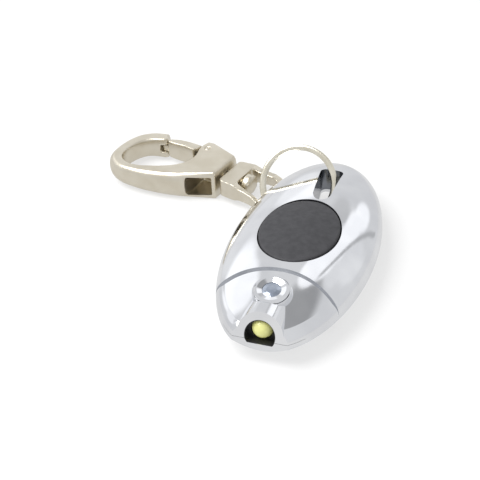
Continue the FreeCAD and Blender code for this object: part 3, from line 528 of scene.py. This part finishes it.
def nose_waste(body):
    """What lies in front of the nose face, which is upright at first and then leans back."""
    face = -body.nose_reach
    slope = [(face + back, level) for back, level in FACE_CORNERS]
    return across([*slope, (slope[-1][0], SKY), (-45, SKY), (-45, -1)])


def tail_slot(body, margin, low, high):
    """An upright prism in the form of the tail slot, which narrows towards the nose on one side."""
    middle = body.slot_side
    nose_middle = middle + body.slot_skew
    half, nose_half = body.slot_width / 2 + margin, body.slot_nose_width / 2 + margin
    front, rear = body.slot_front - margin, body.slot_rear + margin
    nose_round, tail_round = 1.7 + margin, 1.4 + margin
    outline = rounded([(nose_middle - nose_half, front, nose_round),
                       (nose_middle + nose_half, front, nose_round),
                       (middle + half, rear, tail_round), (middle - half, rear, tail_round)])
    return prism([(x, y, low) for x, y in outline], (0, 0, high - low))


def nose_block(body, top):
    """A block that takes away all below a height at the lamp window."""
    face = -body.nose_reach
    return block((-10, face - 5, 0), (10, face + 10, top))


def lamp_opening(body):
    """The half-round window in the nose: a round top over a flat sill."""
    face = -body.nose_reach
    tube = rod(WINDOW_RADIUS, (0, face + 6.3, WINDOW_HEIGHT), (0, face - 3, WINDOW_HEIGHT), 64)
    return join_by("DIFFERENCE", tube, nose_block(body, SILL))


def columns(radius, low, high, points=32):
    """Four upright cylinders, one at each case screw."""
    posts = [rod(radius, (side * SCREW_SIDE, row, low), (side * SCREW_SIDE, row, high), points)
             for row in SCREW_ROWS for side in (-1, 1)]
    return join_by("UNION", *posts)


class FLASHLIGHT_OT_shells(bpy.types.Operator):
    """Models the two chromed shells of the body"""
    bl_idname = "flashlight.shells"
    bl_label = "Body shells"

    def execute(self, context):
        body, button = sizes("body"), sizes("button")
        form, lip = self.outside(body)
        self.top_shell(form, body, button)
        self.bottom_shell(lip, body)
        return {"FINISHED"}

    def outside(self, body):
        """The solid upper form, and the lip of it that belongs to the lower shell."""
        seam, nose = body.seam_height, -body.nose_reach
        # The zone round the nose sits a step lower, inside a round line.
        radius, reach = body.step_radius, body.step_reach
        zone = rod(radius, (0, -reach - radius, -5), (0, -reach - radius, SKY), 360)
        low_form = oval_stack(dome_rings(body, drop=body.step_drop))
        form = oval_stack(dome_rings(body))
        join_by("DIFFERENCE", form, join_by("DIFFERENCE", zone, low_form))
        barrel = rod(body.barrel_radius, (0, nose, WINDOW_HEIGHT), (0, -16, WINDOW_HEIGHT), 128,
                     body.barrel_radius - 0.6)
        join_by("DIFFERENCE", barrel, block((-20, -45, -10), (20, 0, seam + 0.3)))
        boss = rod(4.85, JEWEL_TOP - JEWEL_AXIS * 2.4, JEWEL_TOP - JEWEL_AXIS * 0.2, 96, 4.45)
        join_by("UNION", form, barrel, boss)
        join_by("DIFFERENCE", form, nose_waste(body))
        lip = join_by("INTERSECT", copy_of(form), block((-20, nose - 3, 0), (20, nose + 3.4, 6.7)))
        join_by("DIFFERENCE", form, block((-20, nose - 3, 0), (20, nose + 3.4, 6.76)))
        return form, lip

    def top_shell(self, form, body, button):
        """Hollows the upper form and opens it for the button, lamp, jewel, ring and screws."""
        seam, wall, nose = body.seam_height, body.shell_wall, -body.nose_reach
        hollow = oval_stack(dome_rings(body, wall, overrun=1), points=96)
        join_by("UNION", hollow, rod(3.9, (0, -17, WINDOW_HEIGHT), (0, nose, WINDOW_HEIGHT), 64))
        join_by("DIFFERENCE", hollow, block((-25, nose - 12, -5), (25, nose + 4.3, SKY)),
                tail_slot(body, 0.8, -1, SKY), columns(2.2, seam - 1, SKY))
        setback, gap = button.setback, button.gap
        opening = oval_stack([(button.width / 2 + gap, button.length / 2 + gap, level)
                              for level in (8, 20)], -setback)
        seat = rod(4.18, JEWEL_TOP - JEWEL_AXIS * 0.6, JEWEL_TOP + JEWEL_AXIS * 4, 96)
        # A round scoop runs down into the slot's front end.
        lean = math.radians(40)
        foot = Vector((body.slot_side + body.slot_skew, body.slot_front + 2.6, 12.9))
        top = foot + Vector((0, -math.sin(lean), math.cos(lean))) * 5
        scoop = rod(body.slot_nose_width / 2, foot, top, 64)
        join_by("DIFFERENCE", form, hollow, tail_slot(body, 0, -1, SKY), opening, lamp_opening(body), seat,
                scoop, columns(0.7, seam - 1, 10.2))
        finish_piece(form, "chromed_top_shell", "light", "chrome", ["top_shell"], 32)

        # Painted shade: the slot's upright walls and the step's upright wall get darker copies of the chrome.
        form.data.materials.append(FINISHES["slot_shade_chrome"])
        form.data.materials.append(FINISHES["step_shade_chrome"])
        half = body.slot_width / 2 + 1
        radius = body.step_radius
        for face in form.data.polygons:
            x, y, z = face.center / MM
            slot_shade_face = abs(x - body.slot_side) < half and body.slot_front - 0.5 < y < body.slot_rear + 0.3
            step_shade_face = abs(math.hypot(x, y + body.step_reach + radius) - radius) < 0.04 and z > seam + 0.5
            if abs(face.normal.z) < 0.45 and (slot_shade_face or step_shade_face):
                face.material_index = 1 if slot_shade_face else 2

    def bottom_shell(self, lip, body):
        """Models the belly with its flat foot and kicked-up tail, and joins the nose lip to it."""
        seam, wall, nose, lift = body.seam_height, body.shell_wall, -body.nose_reach, body.tail_lift
        belly = oval_stack(belly_rings(body))
        join_by("DIFFERENCE", belly, nose_waste(body),
                across([(9.5, -1), (9.5, 0), (15.5, lift), (45, lift), (45, -1)]))
        join_by("UNION", belly, lip)
        inside = oval_stack(belly_rings(body, wall) + [(16.7, 35.2, seam + 1)], points=96)
        join_by("DIFFERENCE", inside, block((-25, nose - 12, -5), (25, nose + 4.3, SKY)),
                tail_slot(body, 0.8, -1, SKY), columns(2.6, -1, SKY),
                across([(8, -1), (8, wall), (14.5, lift + wall), (45, lift + wall), (45, -1)]))
        # The screws come up through wide bores for their heads and narrow ones for their threads.
        join_by("DIFFERENCE", belly, inside, tail_slot(body, 0, -1, SKY), lamp_opening(body),
                columns(1.65, -1, 3.9), columns(0.85, -1, seam + 1))
        finish_piece(belly, "chromed_bottom_shell", "light", "chrome", ["bottom_shell"], 32)


class FLASHLIGHT_OT_button(bpy.types.Operator):
    """Models the soft grey press button with its flange and plunger"""
    bl_idname = "flashlight.button"
    bl_label = "Press button"

    def execute(self, context):
        button = sizes("button")
        # A tenth of a millimetre is left off all round, so that the gap shows as a dark line.
        wide, long = button.width / 2 - 0.1, button.length / 2 - 0.1
        shoulder, top, setback = button.shoulder, button.top, button.setback
        edge, rim = 0.45, shoulder - 0.35
        rings = [(wide, long, 10.7), (wide, long, rim)]
        for step in range(1, 6):
            turn = math.pi / 2 * step / 6
            drawn_in = edge * (1 - math.cos(turn))
            rings.append((wide - drawn_in, long - drawn_in, rim + edge * math.sin(turn)))
        start_wide, start_long, start = rings[-1]
        for step in range(1, 25):
            share = 1 - step / 24.5
            rings.append((start_wide * share, start_long * share, start + (top - start) * (1 - share ** 2)))

        def oval(margin, low, high):
            return oval_stack([(wide + margin, long + margin, low), (wide + margin, long + margin, high)],
                              -setback, 144)

        cap = oval_stack(rings, -setback, 144)
        join_by("UNION", cap, oval(button.flange, 9.9, 10.9))
        join_by("DIFFERENCE", cap, oval(-1.5, 9, 13.4))
        join_by("UNION", cap, rod(2, (0, -setback, 8.45), (0, -setback, 13.6), 48))
        finish_piece(cap, "grey_button", "button", "button", ["button_cap"], 32)
        return {"FINISHED"}


class FLASHLIGHT_OT_spring(bpy.types.Operator):
    """Winds the spring under the button"""
    bl_idname = "flashlight.spring"
    bl_label = "Button spring"

    def execute(self, context):
        low, high = (Vector(corner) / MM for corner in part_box("button_spring"))
        wire, turns = 0.5, 4
        middle, out = (low + high) / 2, (high.x - low.x - wire) / 2
        rise = (high.z - low.z - wire) / (turns * 360)
        outline = [(out + wire / 2 * math.cos(turn), wire / 2 * math.sin(turn))
                   for turn in (math.tau * step / 12 for step in range(12))]
        sections = []
        for degrees in range(0, turns * 360 + 1, 10):
            turn = Matrix.Rotation(math.radians(degrees), 3, "Z")
            centre = Vector((middle.x, middle.y, low.z + wire / 2 + rise * degrees))
            sections.append([centre + turn @ Vector((away, 0, up)) for away, up in outline])
        coil = finish_piece(skin(sections), "button_coil", "light", "spring",
                            ["button_spring"], 60)
        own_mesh(coil)
        return {"FINISHED"}


class FLASHLIGHT_OT_collar(bpy.types.Operator):
    """Models the black collar and saddle that hold the lamp in its window"""
    bl_idname = "flashlight.collar"
    bl_label = "Lamp collar"

    def execute(self, context):
        body = sizes("body")
        face = -body.nose_reach

        def window_rod(radius, back, front, sill):
            """A rod along the window, from behind the nose face to before it, with a flat foot."""
            tube = rod(radius, (0, face + back, WINDOW_HEIGHT), (0, face + front, WINDOW_HEIGHT), 64)
            return join_by("DIFFERENCE", tube, nose_block(body, sill))

        collar = window_rod(3.52, 5.2, 2.1, 5.68)
        # A thin black lining runs on from it to just inside the nose face.
        lining = window_rod(3.58, 2.6, -1, 5.62)
        slope = [(face + back + 0.12, level) for back, level in FACE_CORNERS]
        join_by("DIFFERENCE", lining, window_rod(3.46, 3, -2, 5.74),
                across([*slope, (face - 5, slope[-1][1]), (face - 5, -1)]))
        saddle = block((-3.5, face + 4.7, 4.2), (3.5, face + 7.5, LAMP_HEIGHT))
        join_by("UNION", saddle, collar, lining)
        join_by("DIFFERENCE", saddle, rod(2.58, (0, face + 9.5, LAMP_HEIGHT), (0, face - 3, LAMP_HEIGHT), 96))
        finish_piece(saddle, "black_lamp_collar", "light", "black_abs", ["led_holder"])
        return {"FINISHED"}


# ---- Outlines of the ring, hook and swivel ----
RING_CENTRE = (-7.75, 23.9, 8.8)
RING_START = 250        # where on the ring its wire ends lie, in degrees
JOG_HALF = 17           # half of the arc in which the wire steps from one turn to the other, in degrees
HOOK_PIVOT = (-29.2, 28.8)
HOOK_REACH = 33.0
GATE_PIN = (-9.0, 4.5)
# The hook and its lever lie along -X from the swivel. Each run lists points (x and y at the widest girth,
# x and y at the flat face) of a smooth curve that goes on from the end of the run before it.
HOOK_RUNS = (
    ((0.2, -5.7, -0.2, -5.1),),
    ((-6.0, -9.4, -5.9, -7.9), (-10.0, -11.4, -9.8, -9.8), (-15.0, -12.9, -14.6, -11.4),
     (-21.5, -13.9, -21.0, -12.7), (-28.0, -13.3, -26.8, -12.4), (-32.2, -9.3, -30.6, -9.3),
     (-33.1, -3.6, -31.5, -3.6), (-31.6, 2.4, -30.3, 1.6), (-28.2, 5.6, -27.4, 4.6),
     (-23.4, 7.0, -23.2, 6.0)),
    ((-21.9, 4.2, -22.0, 3.8),),
    ((-22.6, 2.9, -22.8, 3.1),),
    ((-26.6, 0.9, -26.9, 1.2), (-28.8, -3.4, -29.0, -3.4), (-28.3, -8.2, -28.6, -8.5),
     (-23.8, -10.6, -23.8, -11.0), (-17.3, -8.8, -17.3, -9.2), (-12.5, -5.9, -12.3, -6.2),
     (-10.3, -2.9, -10.0, -3.0), (-10.2, 0.3, -9.9, 0.3), (-11.0, 3.2, -10.8, 3.2)),
    ((-11.2, 5.8, -11.0, 5.4),),
    ((-10.6, 7.8, -10.5, 7.2),),
    ((-8.8, 8.0, -8.8, 7.4),),
    ((0.2, 5.0, -0.2, 4.4),),
)
GATE_RUNS = (
    ((-15.0, 6.3, -15.0, 5.8), (-18.5, 6.1, -18.5, 5.6), (-21.4, 5.2, -21.3, 4.8)),
    ((-21.6, 3.3, -21.4, 3.5),),
    ((-19.5, 3.1, -19.5, 3.4), (-16.0, 3.2, -16.0, 3.5), (-12.8, 2.7, -12.8, 3.0)),
    ((-11.7, 4.2, -11.9, 4.2),),
    ((-11.5, 6.1, -11.7, 5.6),),
)
# Share of the half height, and how far the outline has moved there towards the flat face.
HALF_BEVEL = ((0.0, 0.0), (0.17, 0.01), (0.34, 0.05), (0.5, 0.12), (0.63, 0.25), (0.75, 0.40), (0.86, 0.60),
              (0.95, 0.86), (0.985, 1.02), (1.0, 1.12))
BEVEL = [(-share, ease) for share, ease in reversed(HALF_BEVEL[1:])] + list(HALF_BEVEL)
# Corners (x, y, radius) of the yoke and its window from above, and corners (x, z) of its side view.
YOKE_OUTLINE = ((1.0, 5.2, 1.2), (1.0, -5.2, 1.2), (9.5, -5.9, 4.0), (21.3, -8.7, 3.0), (14.9, 6.1, 2.2),
                (6.0, 5.9, 4.0))
YOKE_WINDOW = ((5.8, 3.9, 1.0), (5.8, -3.6, 1.0), (20.0, -7.2, 1.2), (13.3, 4.2, 1.2))
YOKE_PROFILE = ((1.0, 2.4), (5.8, 2.4), (7.6, 1.7), (12.0, 1.3), (14.5, 0.25), (24, 0.25), (24, -1.05),
                (17.0, -1.05), (12.0, -1.6), (7.6, -1.8), (5.8, -2.4), (1.0, -2.4))


class FLASHLIGHT_OT_ring(bpy.types.Operator):
    """Models the split ring: one wire that goes round twice, with a short jog between its turns"""
    bl_idname = "flashlight.ring"
    bl_label = "Split ring"

    def execute(self, context):
        ring = sizes("ring")
        wire, stack = ring.wire, ring.stack
        middle = (ring.diameter - wire) / 2
        half_wide, level = wire / 2, stack / 4
        half_high = level - 0.07

        def squared(share):
            """Pushes a sine or cosine outwards, for a flat wire with round edges."""
            return math.copysign(abs(share) ** 0.8, share)

        outline = [(half_wide * squared(math.cos(turn)), half_high * squared(math.sin(turn)))
                   for turn in (math.tau * step / 28 for step in range(28))]
        sections = []
        for degrees in range(JOG_HALF, 721 - JOG_HALF, 2):
            share = min(1, max(0, (degrees - 360 + JOG_HALF) / (2 * JOG_HALF)))
            lift = level * (2 * share * share * (3 - 2 * share) - 1)
            turn = Matrix.Rotation(math.radians(degrees), 3, "Z")
            sections.append([turn @ Vector((middle + out, 0, lift + up)) for out, up in outline])
        piece = place(skin(sections), Matrix.Translation(RING_CENTRE) @ Matrix.Rotation(ring.lean, 4, "X")
                      @ Matrix.Rotation(math.radians(RING_START), 4, "Z"))
        finish_piece(piece, "two_turn_ring", "ring", "wire", ["split_ring"])
        return {"FINISHED"}


def hook_home(hook):
    """The hook's own frame: X along the swivel's axis towards the ring, Z up."""
    return Matrix.Translation((*HOOK_PIVOT, hook.thickness / 2)) @ Matrix.Rotation(-hook.turn, 4, "Z")


def bevelled(runs, half_height, hook, steps=8):
    """A solid from runs of points at its girth and its flat face, rounded over, that thins towards -X."""
    fall = (1 - hook.tip_thickness / hook.thickness) / HOOK_REACH
    outlines = []
    for side in (0, 2):
        outline = []
        start = runs[-1][-1]
        for run in runs:
            outline += curve_through([Vector((*point[side:side + 2], 0)) for point in (start, *run)], steps)
            start = run[-1]
        outlines.append(outline)
    sections = []
    for share, ease in BEVEL:
        points = [widest.lerp(flat, ease) for widest, flat in zip(*outlines)]
        sections.append([Vector((p.x, p.y, half_height * share * (1 + fall * p.x))) for p in points])
    return skin(sections)


class FLASHLIGHT_OT_hook(bpy.types.Operator):
    """Models the snap hook and the lever that closes its mouth"""
    bl_idname = "flashlight.hook"
    bl_label = "Snap hook and gate"

    def execute(self, context):
        hook = sizes("hook")
        home = hook_home(hook)
        body = bevelled(HOOK_RUNS, hook.thickness / 2, hook)
        # The side window with the room behind it, the seats of the lever and its tongue, and two bores.
        join_by("DIFFERENCE", body, block((-6.9, -21, -2.7), (-0.75, -1, 2.7)),
                block((-4.0, -5.5, -2.7), (-0.75, 2.5, 2.7)), block((-12.4, 1.9, -1.5), (-6.8, 10.9, 1.7)),
                block((-23.9, -1, -1.1), (-21.3, 5.3, 1.1)), rod(1.62, (-2, 0, 0), (1, 0, 0), 48),
                rod(0.75, (*GATE_PIN, -4), (*GATE_PIN, 4), 48))
        soften(body, 0.2, 6)
        # Remeshing swells its tip by a tenth of a millimetre, which this takes back.
        place(body, home @ Matrix.Diagonal((0.996, 1, 1, 1)))
        finish_piece(body, "cast_hook", "hook", "nickel", ["hook_body"])

        gate = bevelled(GATE_RUNS, hook.gate_thickness / 2, hook)
        # Its knuckle round the pin, the neck to that, and the tongue that rests in the hook's tip.
        join_by("UNION", gate, rod(1.7, (*GATE_PIN, -1.4), (*GATE_PIN, 0.6), 48),
                block((-12.6, 3.3, -1.4), (-9.0, 5.9, 0.6)), block((-23.3, 3.4, -0.9), (-21.1, 4.8, 0.9)))
        join_by("DIFFERENCE", gate, rod(0.79, (*GATE_PIN, -4), (*GATE_PIN, 4), 48))
        place(soften(gate, 0.14, 4), home)
        finish_piece(gate, "cast_gate", "gate", "nickel", ["hook_gate"])
        return {"FINISHED"}


class FLASHLIGHT_OT_swivel(bpy.types.Operator):
    """Models the yoke and the rivet of the swivel"""
    bl_idname = "flashlight.swivel"
    bl_label = "Swivel yoke and post"

    def execute(self, context):
        hook = sizes("hook")
        home = hook_home(hook)
        outside, inside = rounded(YOKE_OUTLINE), rounded(YOKE_WINDOW)
        yoke = prism([(x, y, -2.4) for x, y in outside], (0, 0, 4.8))
        join_by("DIFFERENCE", yoke, prism([(x, y, -3) for x, y in inside], (0, 0, 6)))
        join_by("INTERSECT", yoke, prism([(x, -12, z) for x, z in YOKE_PROFILE], (0, 24, 0)))
        join_by("DIFFERENCE", yoke, rod(1.5, (0, 0, 0), (7, 0, 0), 48))
        place(soften(yoke, 0.14, 8), home)
        finish_piece(yoke, "cast_yoke", "yoke", "nickel", ["swivel_yoke"])

        # Radius and place along the axis: a foot inside the hook, the shank, and a domed head.
        rings = [(2.2, -2.8), (2.2, -0.9), (1.5, -0.9), (1.5, 6.3), (2.3, 6.3), (2.6, 6.45), (2.7, 6.75),
                 (2.7, 7.7), (2.6, 8.05), (2.35, 8.35), (1.9, 8.58), (1.2, 8.73), (0.5, 8.79)]
        post = oval_stack([(radius, radius, level) for radius, level in rings], points=72)
        place(post, home @ Matrix.Rotation(math.pi / 2, 4, "Y"))
        finish_piece(post, "rivet_post", "yoke", "nickel", ["swivel_post"])
        return {"FINISHED"}


class FLASHLIGHT_OT_cad_pieces(bpy.types.Operator):
    """Gives the pieces that keep their CAD shape their finishes"""
    bl_idname = "flashlight.cad_pieces"
    bl_label = "Lamp, cells, screws and springs"

    def execute(self, context):
        for name, finish in CAD_FINISHES.items():
            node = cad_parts[name]
            node.data.materials.clear()
            node.data.materials.append(FINISHES[finish])
        return {"FINISHED"}


# ---- Stage ----
# What polished metal mirrors: a pale tent, with brighter and greyer soft panels round the table.
# Each panel has an azimuth from +Y towards +X, an elevation, a radius, a soft edge and a level.
TENT_LEVEL = 0.79
TENT_PANELS = (
    (35, 68, 13, 9, 0.4), (4, 34, 5, 5, 0.63), (-24, 12, 5, 5, 1.0), (37, 30, 7, 5, 0.9),
    (33, 41, 6, 4, 0.9), (20, 21, 5, 3, 1.25), (20, 30, 6, 3, 1.25), (19, 38, 6, 3, 1.25),
    (15, 46, 8, 3, 1.25), (9, 51, 7, 2, 1.25), (-42, 8, 9, 8, 0.9), (-19, 22, 6, 4, 1.25),
    (-24, 17, 4, 4, 1.1), (-56, 28, 12, 6, 1.3), (-52, 39, 8, 5, 1.25), (-80, 27, 5, 4, 1.1),
)
# A dark seam between two of its panels, from one direction to the other.
TENT_SEAM = ((31, 6), (22, 54))
SEAM_EDGES = (0.026, 0.01)      # half its width, where it starts and where it is full, as sines
SEAM_LEVEL = 0.5
ROOM_LEVEL = 0.62       # how brightly the room lights matt surfaces
TABLE_WHITE = 0.6       # how much of the table's own shading gives way to white behind the object
TABLE_LEVEL = 0.75      # how bright the table looks in polished metal
TABLE_SHARE = 0.85      # how far it takes on that level there
CAMERA_PLACE = (65.24, -220.55, 183.17)
CAMERA_TURN = (20.156, 36.927, -3.069)      # azimuth, elevation and roll, in degrees


def towards(azimuth, elevation):
    """A unit vector towards a place in the room, from its azimuth and elevation in degrees."""
    azimuth, elevation = math.radians(azimuth), math.radians(elevation)
    return Vector((math.sin(azimuth) * math.cos(elevation), math.cos(azimuth) * math.cos(elevation),
                   math.sin(elevation)))


def tent_level(tree):
    """How bright the tent is in each direction of the room, from the cosines of angles to its panels."""
    room = add(tree, "ShaderNodeTexCoord")
    below = {}
    for azimuth, elevation, radius, edge, level in TENT_PANELS:
        way = towards(azimuth, elevation)
        nearness = add(tree, "ShaderNodeVectorMath", {"operation": "DOT_PRODUCT", 1: way},
                       {0: (room, "Generated")})
        panel = add(tree, "ShaderNodeMapRange",
                    {"interpolation_type": "SMOOTHSTEP", "From Min": math.cos(math.radians(radius + edge)),
                     "From Max": math.cos(math.radians(radius))}, {"Value": (nearness, "Value")})
        tent = add(tree, "ShaderNodeMix", {"data_type": "FLOAT", "A": TENT_LEVEL, "B": level},
                   {"Factor": (panel, "Result"), **below})
        below = {"A": (tent, "Result")}

    # The seam is thin to both sides of its line, and fades out towards both of its ends.
    first, last = (towards(*end) for end in TENT_SEAM)
    half = math.acos(first.dot(last)) / 2
    masks = []
    for way, two_sided, edges in ((first.cross(last), True, SEAM_EDGES),
                                  (first + last, False, (math.cos(half), math.cos(half * 0.8)))):
        nearness = add(tree, "ShaderNodeVectorMath", {"operation": "DOT_PRODUCT", 1: way.normalized()},
                       {0: (room, "Generated")})
        if two_sided:
            nearness = add(tree, "ShaderNodeMath", {"operation": "ABSOLUTE"}, {0: (nearness, "Value")})
        masks.append(add(tree, "ShaderNodeMapRange",
                         {"interpolation_type": "SMOOTHSTEP", "From Min": edges[0], "From Max": edges[1]},
                         {"Value": (nearness, "Value")}))
    seam = add(tree, "ShaderNodeMath", {"operation": "MULTIPLY"},
               {index: (mask, "Result") for index, mask in enumerate(masks)})
    return add(tree, "ShaderNodeMix", {"data_type": "FLOAT", "B": SEAM_LEVEL},
               {"Factor": (seam, "Value"), **below})


class FLASHLIGHT_OT_stage(bpy.types.Operator):
    """Sets the floor, the soft light and the camera"""
    bl_idname = "flashlight.stage"
    bl_label = "Floor, light and camera"

    def execute(self, context):
        scene = context.scene
        scene.view_settings.view_transform = "Standard"
        self.table(scene)
        self.room(scene)
        self.soft_box(scene)
        self.camera(scene)
        return {"FINISHED"}

    def table(self, scene):
        """A matt white table that stays pale behind the object and keeps its shadow."""
        clear_selection()
        bpy.ops.mesh.primitive_plane_add(size=6)
        floor = bpy.context.object
        floor.name = "floor"
        material = bpy.data.materials.new("matt_white_table")
        material.use_nodes = True
        tree = material.node_tree
        tree.nodes.clear()
        spot = add(tree, "ShaderNodeTexCoord")
        mottle = add(tree, "ShaderNodeTexNoise", {"Scale": per_mm(40)}, {"Vector": (spot, "Object")})
        tint = add(tree, "ShaderNodeMix", {"data_type": "RGBA", "A": rgba(scene.flashlight.colours.floor),
                                           "B": rgba("#f9f9f9")}, {"Factor": (mottle, "Fac")})
        matt = add(tree, "ShaderNodeBsdfDiffuse", links={"Color": (tint, "Result")})
        white = add(tree, "ShaderNodeEmission", {"Strength": 1.0})
        path = add(tree, "ShaderNodeLightPath")
        seen = add(tree, "ShaderNodeMath", {"operation": "MULTIPLY", 1: TABLE_WHITE},
                   {0: (path, "Is Camera Ray")})
        pale = add(tree, "ShaderNodeMixShader",
                   links={"Fac": (seen, "Value"), 1: (matt, "BSDF"), 2: (white, "Emission")})
        # Mirrored in the chrome, the table is a shade greyer than the tent.
        grey = add(tree, "ShaderNodeEmission", {"Strength": TABLE_LEVEL})
        mirrored = add(tree, "ShaderNodeMath", {"operation": "MULTIPLY", 1: TABLE_SHARE},
                       {0: (path, "Is Glossy Ray")})
        table = add(tree, "ShaderNodeMixShader",
                    links={"Fac": (mirrored, "Value"), 1: (pale, "Shader"), 2: (grey, "Emission")})
        add(tree, "ShaderNodeOutputMaterial", links={"Surface": (table, "Shader")})
        floor.data.materials.append(material)

    def room(self, scene):
        """An even room for matt surfaces, the tent for mirrors, and white for the camera."""
        world = bpy.data.worlds.new("soft_studio")
        world.use_nodes = True
        scene.world = world
        tree = world.node_tree
        tree.nodes.clear()
        path = add(tree, "ShaderNodeLightPath")
        even = add(tree, "ShaderNodeBackground", {"Color": rgba("#ffffff"), "Strength": ROOM_LEVEL})
        tent = add(tree, "ShaderNodeBackground", {"Color": rgba("#fafbfd")},
                   {"Strength": (tent_level(tree), "Result")})
        white = add(tree, "ShaderNodeBackground", {"Color": rgba("#ffffff"), "Strength": 1.0})
        mirrored = add(tree, "ShaderNodeMixShader",
                       links={"Fac": (path, "Is Glossy Ray"), 1: (even, "Background"),
                              2: (tent, "Background")})
        seen = add(tree, "ShaderNodeMixShader",
                   links={"Fac": (path, "Is Camera Ray"), 1: (mirrored, "Shader"), 2: (white, "Background")})
        add(tree, "ShaderNodeOutputWorld", links={"Surface": (seen, "Shader")})

    def soft_box(self, scene):
        """One soft lamp from the upper left, for the shadow."""
        lamp = bpy.data.lights.new("soft_box", "AREA")
        lamp.shape = "SQUARE"
        lamp.size = 0.35
        lamp.energy = 2.4
        light = bpy.data.objects.new("soft_box", lamp)
        light.location = (-0.25, -0.1, 0.45)
        light.rotation_euler = (-light.location).to_track_quat("-Z", "Y").to_euler()
        scene.collection.objects.link(light)

    def camera(self, scene):
        """A long lens from the front right, above the object."""
        lens = bpy.data.cameras.new("camera")
        lens.lens, lens.sensor_width = 90, 36
        lens.clip_start, lens.clip_end = 0.01, 20
        camera = bpy.data.objects.new("camera", lens)
        azimuth, elevation, roll = (math.radians(degrees) for degrees in CAMERA_TURN)
        aim = (Matrix.Rotation(azimuth, 4, "Z") @ Matrix.Rotation(math.pi / 2 - elevation, 4, "X")
               @ Matrix.Rotation(roll, 4, "Z"))
        camera.matrix_world = Matrix.Translation(Vector(CAMERA_PLACE) * MM) @ aim
        scene.collection.objects.link(camera)
        scene.camera = camera


class FLASHLIGHT_PT_panel(bpy.types.Panel):
    """Lists the pieces and the sizes they are made to"""
    bl_idname = "FLASHLIGHT_PT_panel"
    bl_label = "Keychain flashlight"
    bl_space_type = "VIEW_3D"
    bl_region_type = "UI"
    bl_category = "Flashlight"

    def draw(self, context):
        layout = self.layout
        for operator in OPERATORS:
            layout.operator(operator.bl_idname)
        settings = context.scene.flashlight
        for group in ("body", "button", "ring", "hook", "colours"):
            box = layout.box()
            box.label(text=group.title())
            part = getattr(settings, group)
            for name in part.__annotations__:
                box.prop(part, name)


OPERATORS = (FLASHLIGHT_OT_stage, FLASHLIGHT_OT_shells, FLASHLIGHT_OT_button, FLASHLIGHT_OT_spring,
             FLASHLIGHT_OT_collar, FLASHLIGHT_OT_ring, FLASHLIGHT_OT_hook, FLASHLIGHT_OT_swivel,
             FLASHLIGHT_OT_cad_pieces)
CLASSES = (FLASHLIGHT_PG_body, FLASHLIGHT_PG_button, FLASHLIGHT_PG_ring, FLASHLIGHT_PG_hook,
           FLASHLIGHT_PG_colours, FLASHLIGHT_PG_all, *OPERATORS, FLASHLIGHT_PT_panel)


def register():
    for item in CLASSES:
        bpy.utils.register_class(item)
    bpy.types.Scene.flashlight = PointerProperty(type=FLASHLIGHT_PG_all)


def unregister():
    del bpy.types.Scene.flashlight
    for item in reversed(CLASSES):
        bpy.utils.unregister_class(item)


def main():
    """Models every piece in turn."""
    register()
    FINISHES.update(make_finishes(bpy.context.scene.flashlight.colours))
    bpy.ops.flashlight.stage()
    bpy.ops.flashlight.shells()
    bpy.ops.flashlight.button()
    bpy.ops.flashlight.spring()
    bpy.ops.flashlight.collar()
    bpy.ops.flashlight.ring()
    bpy.ops.flashlight.hook()
    bpy.ops.flashlight.swivel()
    bpy.ops.flashlight.cad_pieces()


if __name__ == "__main__":
    main()
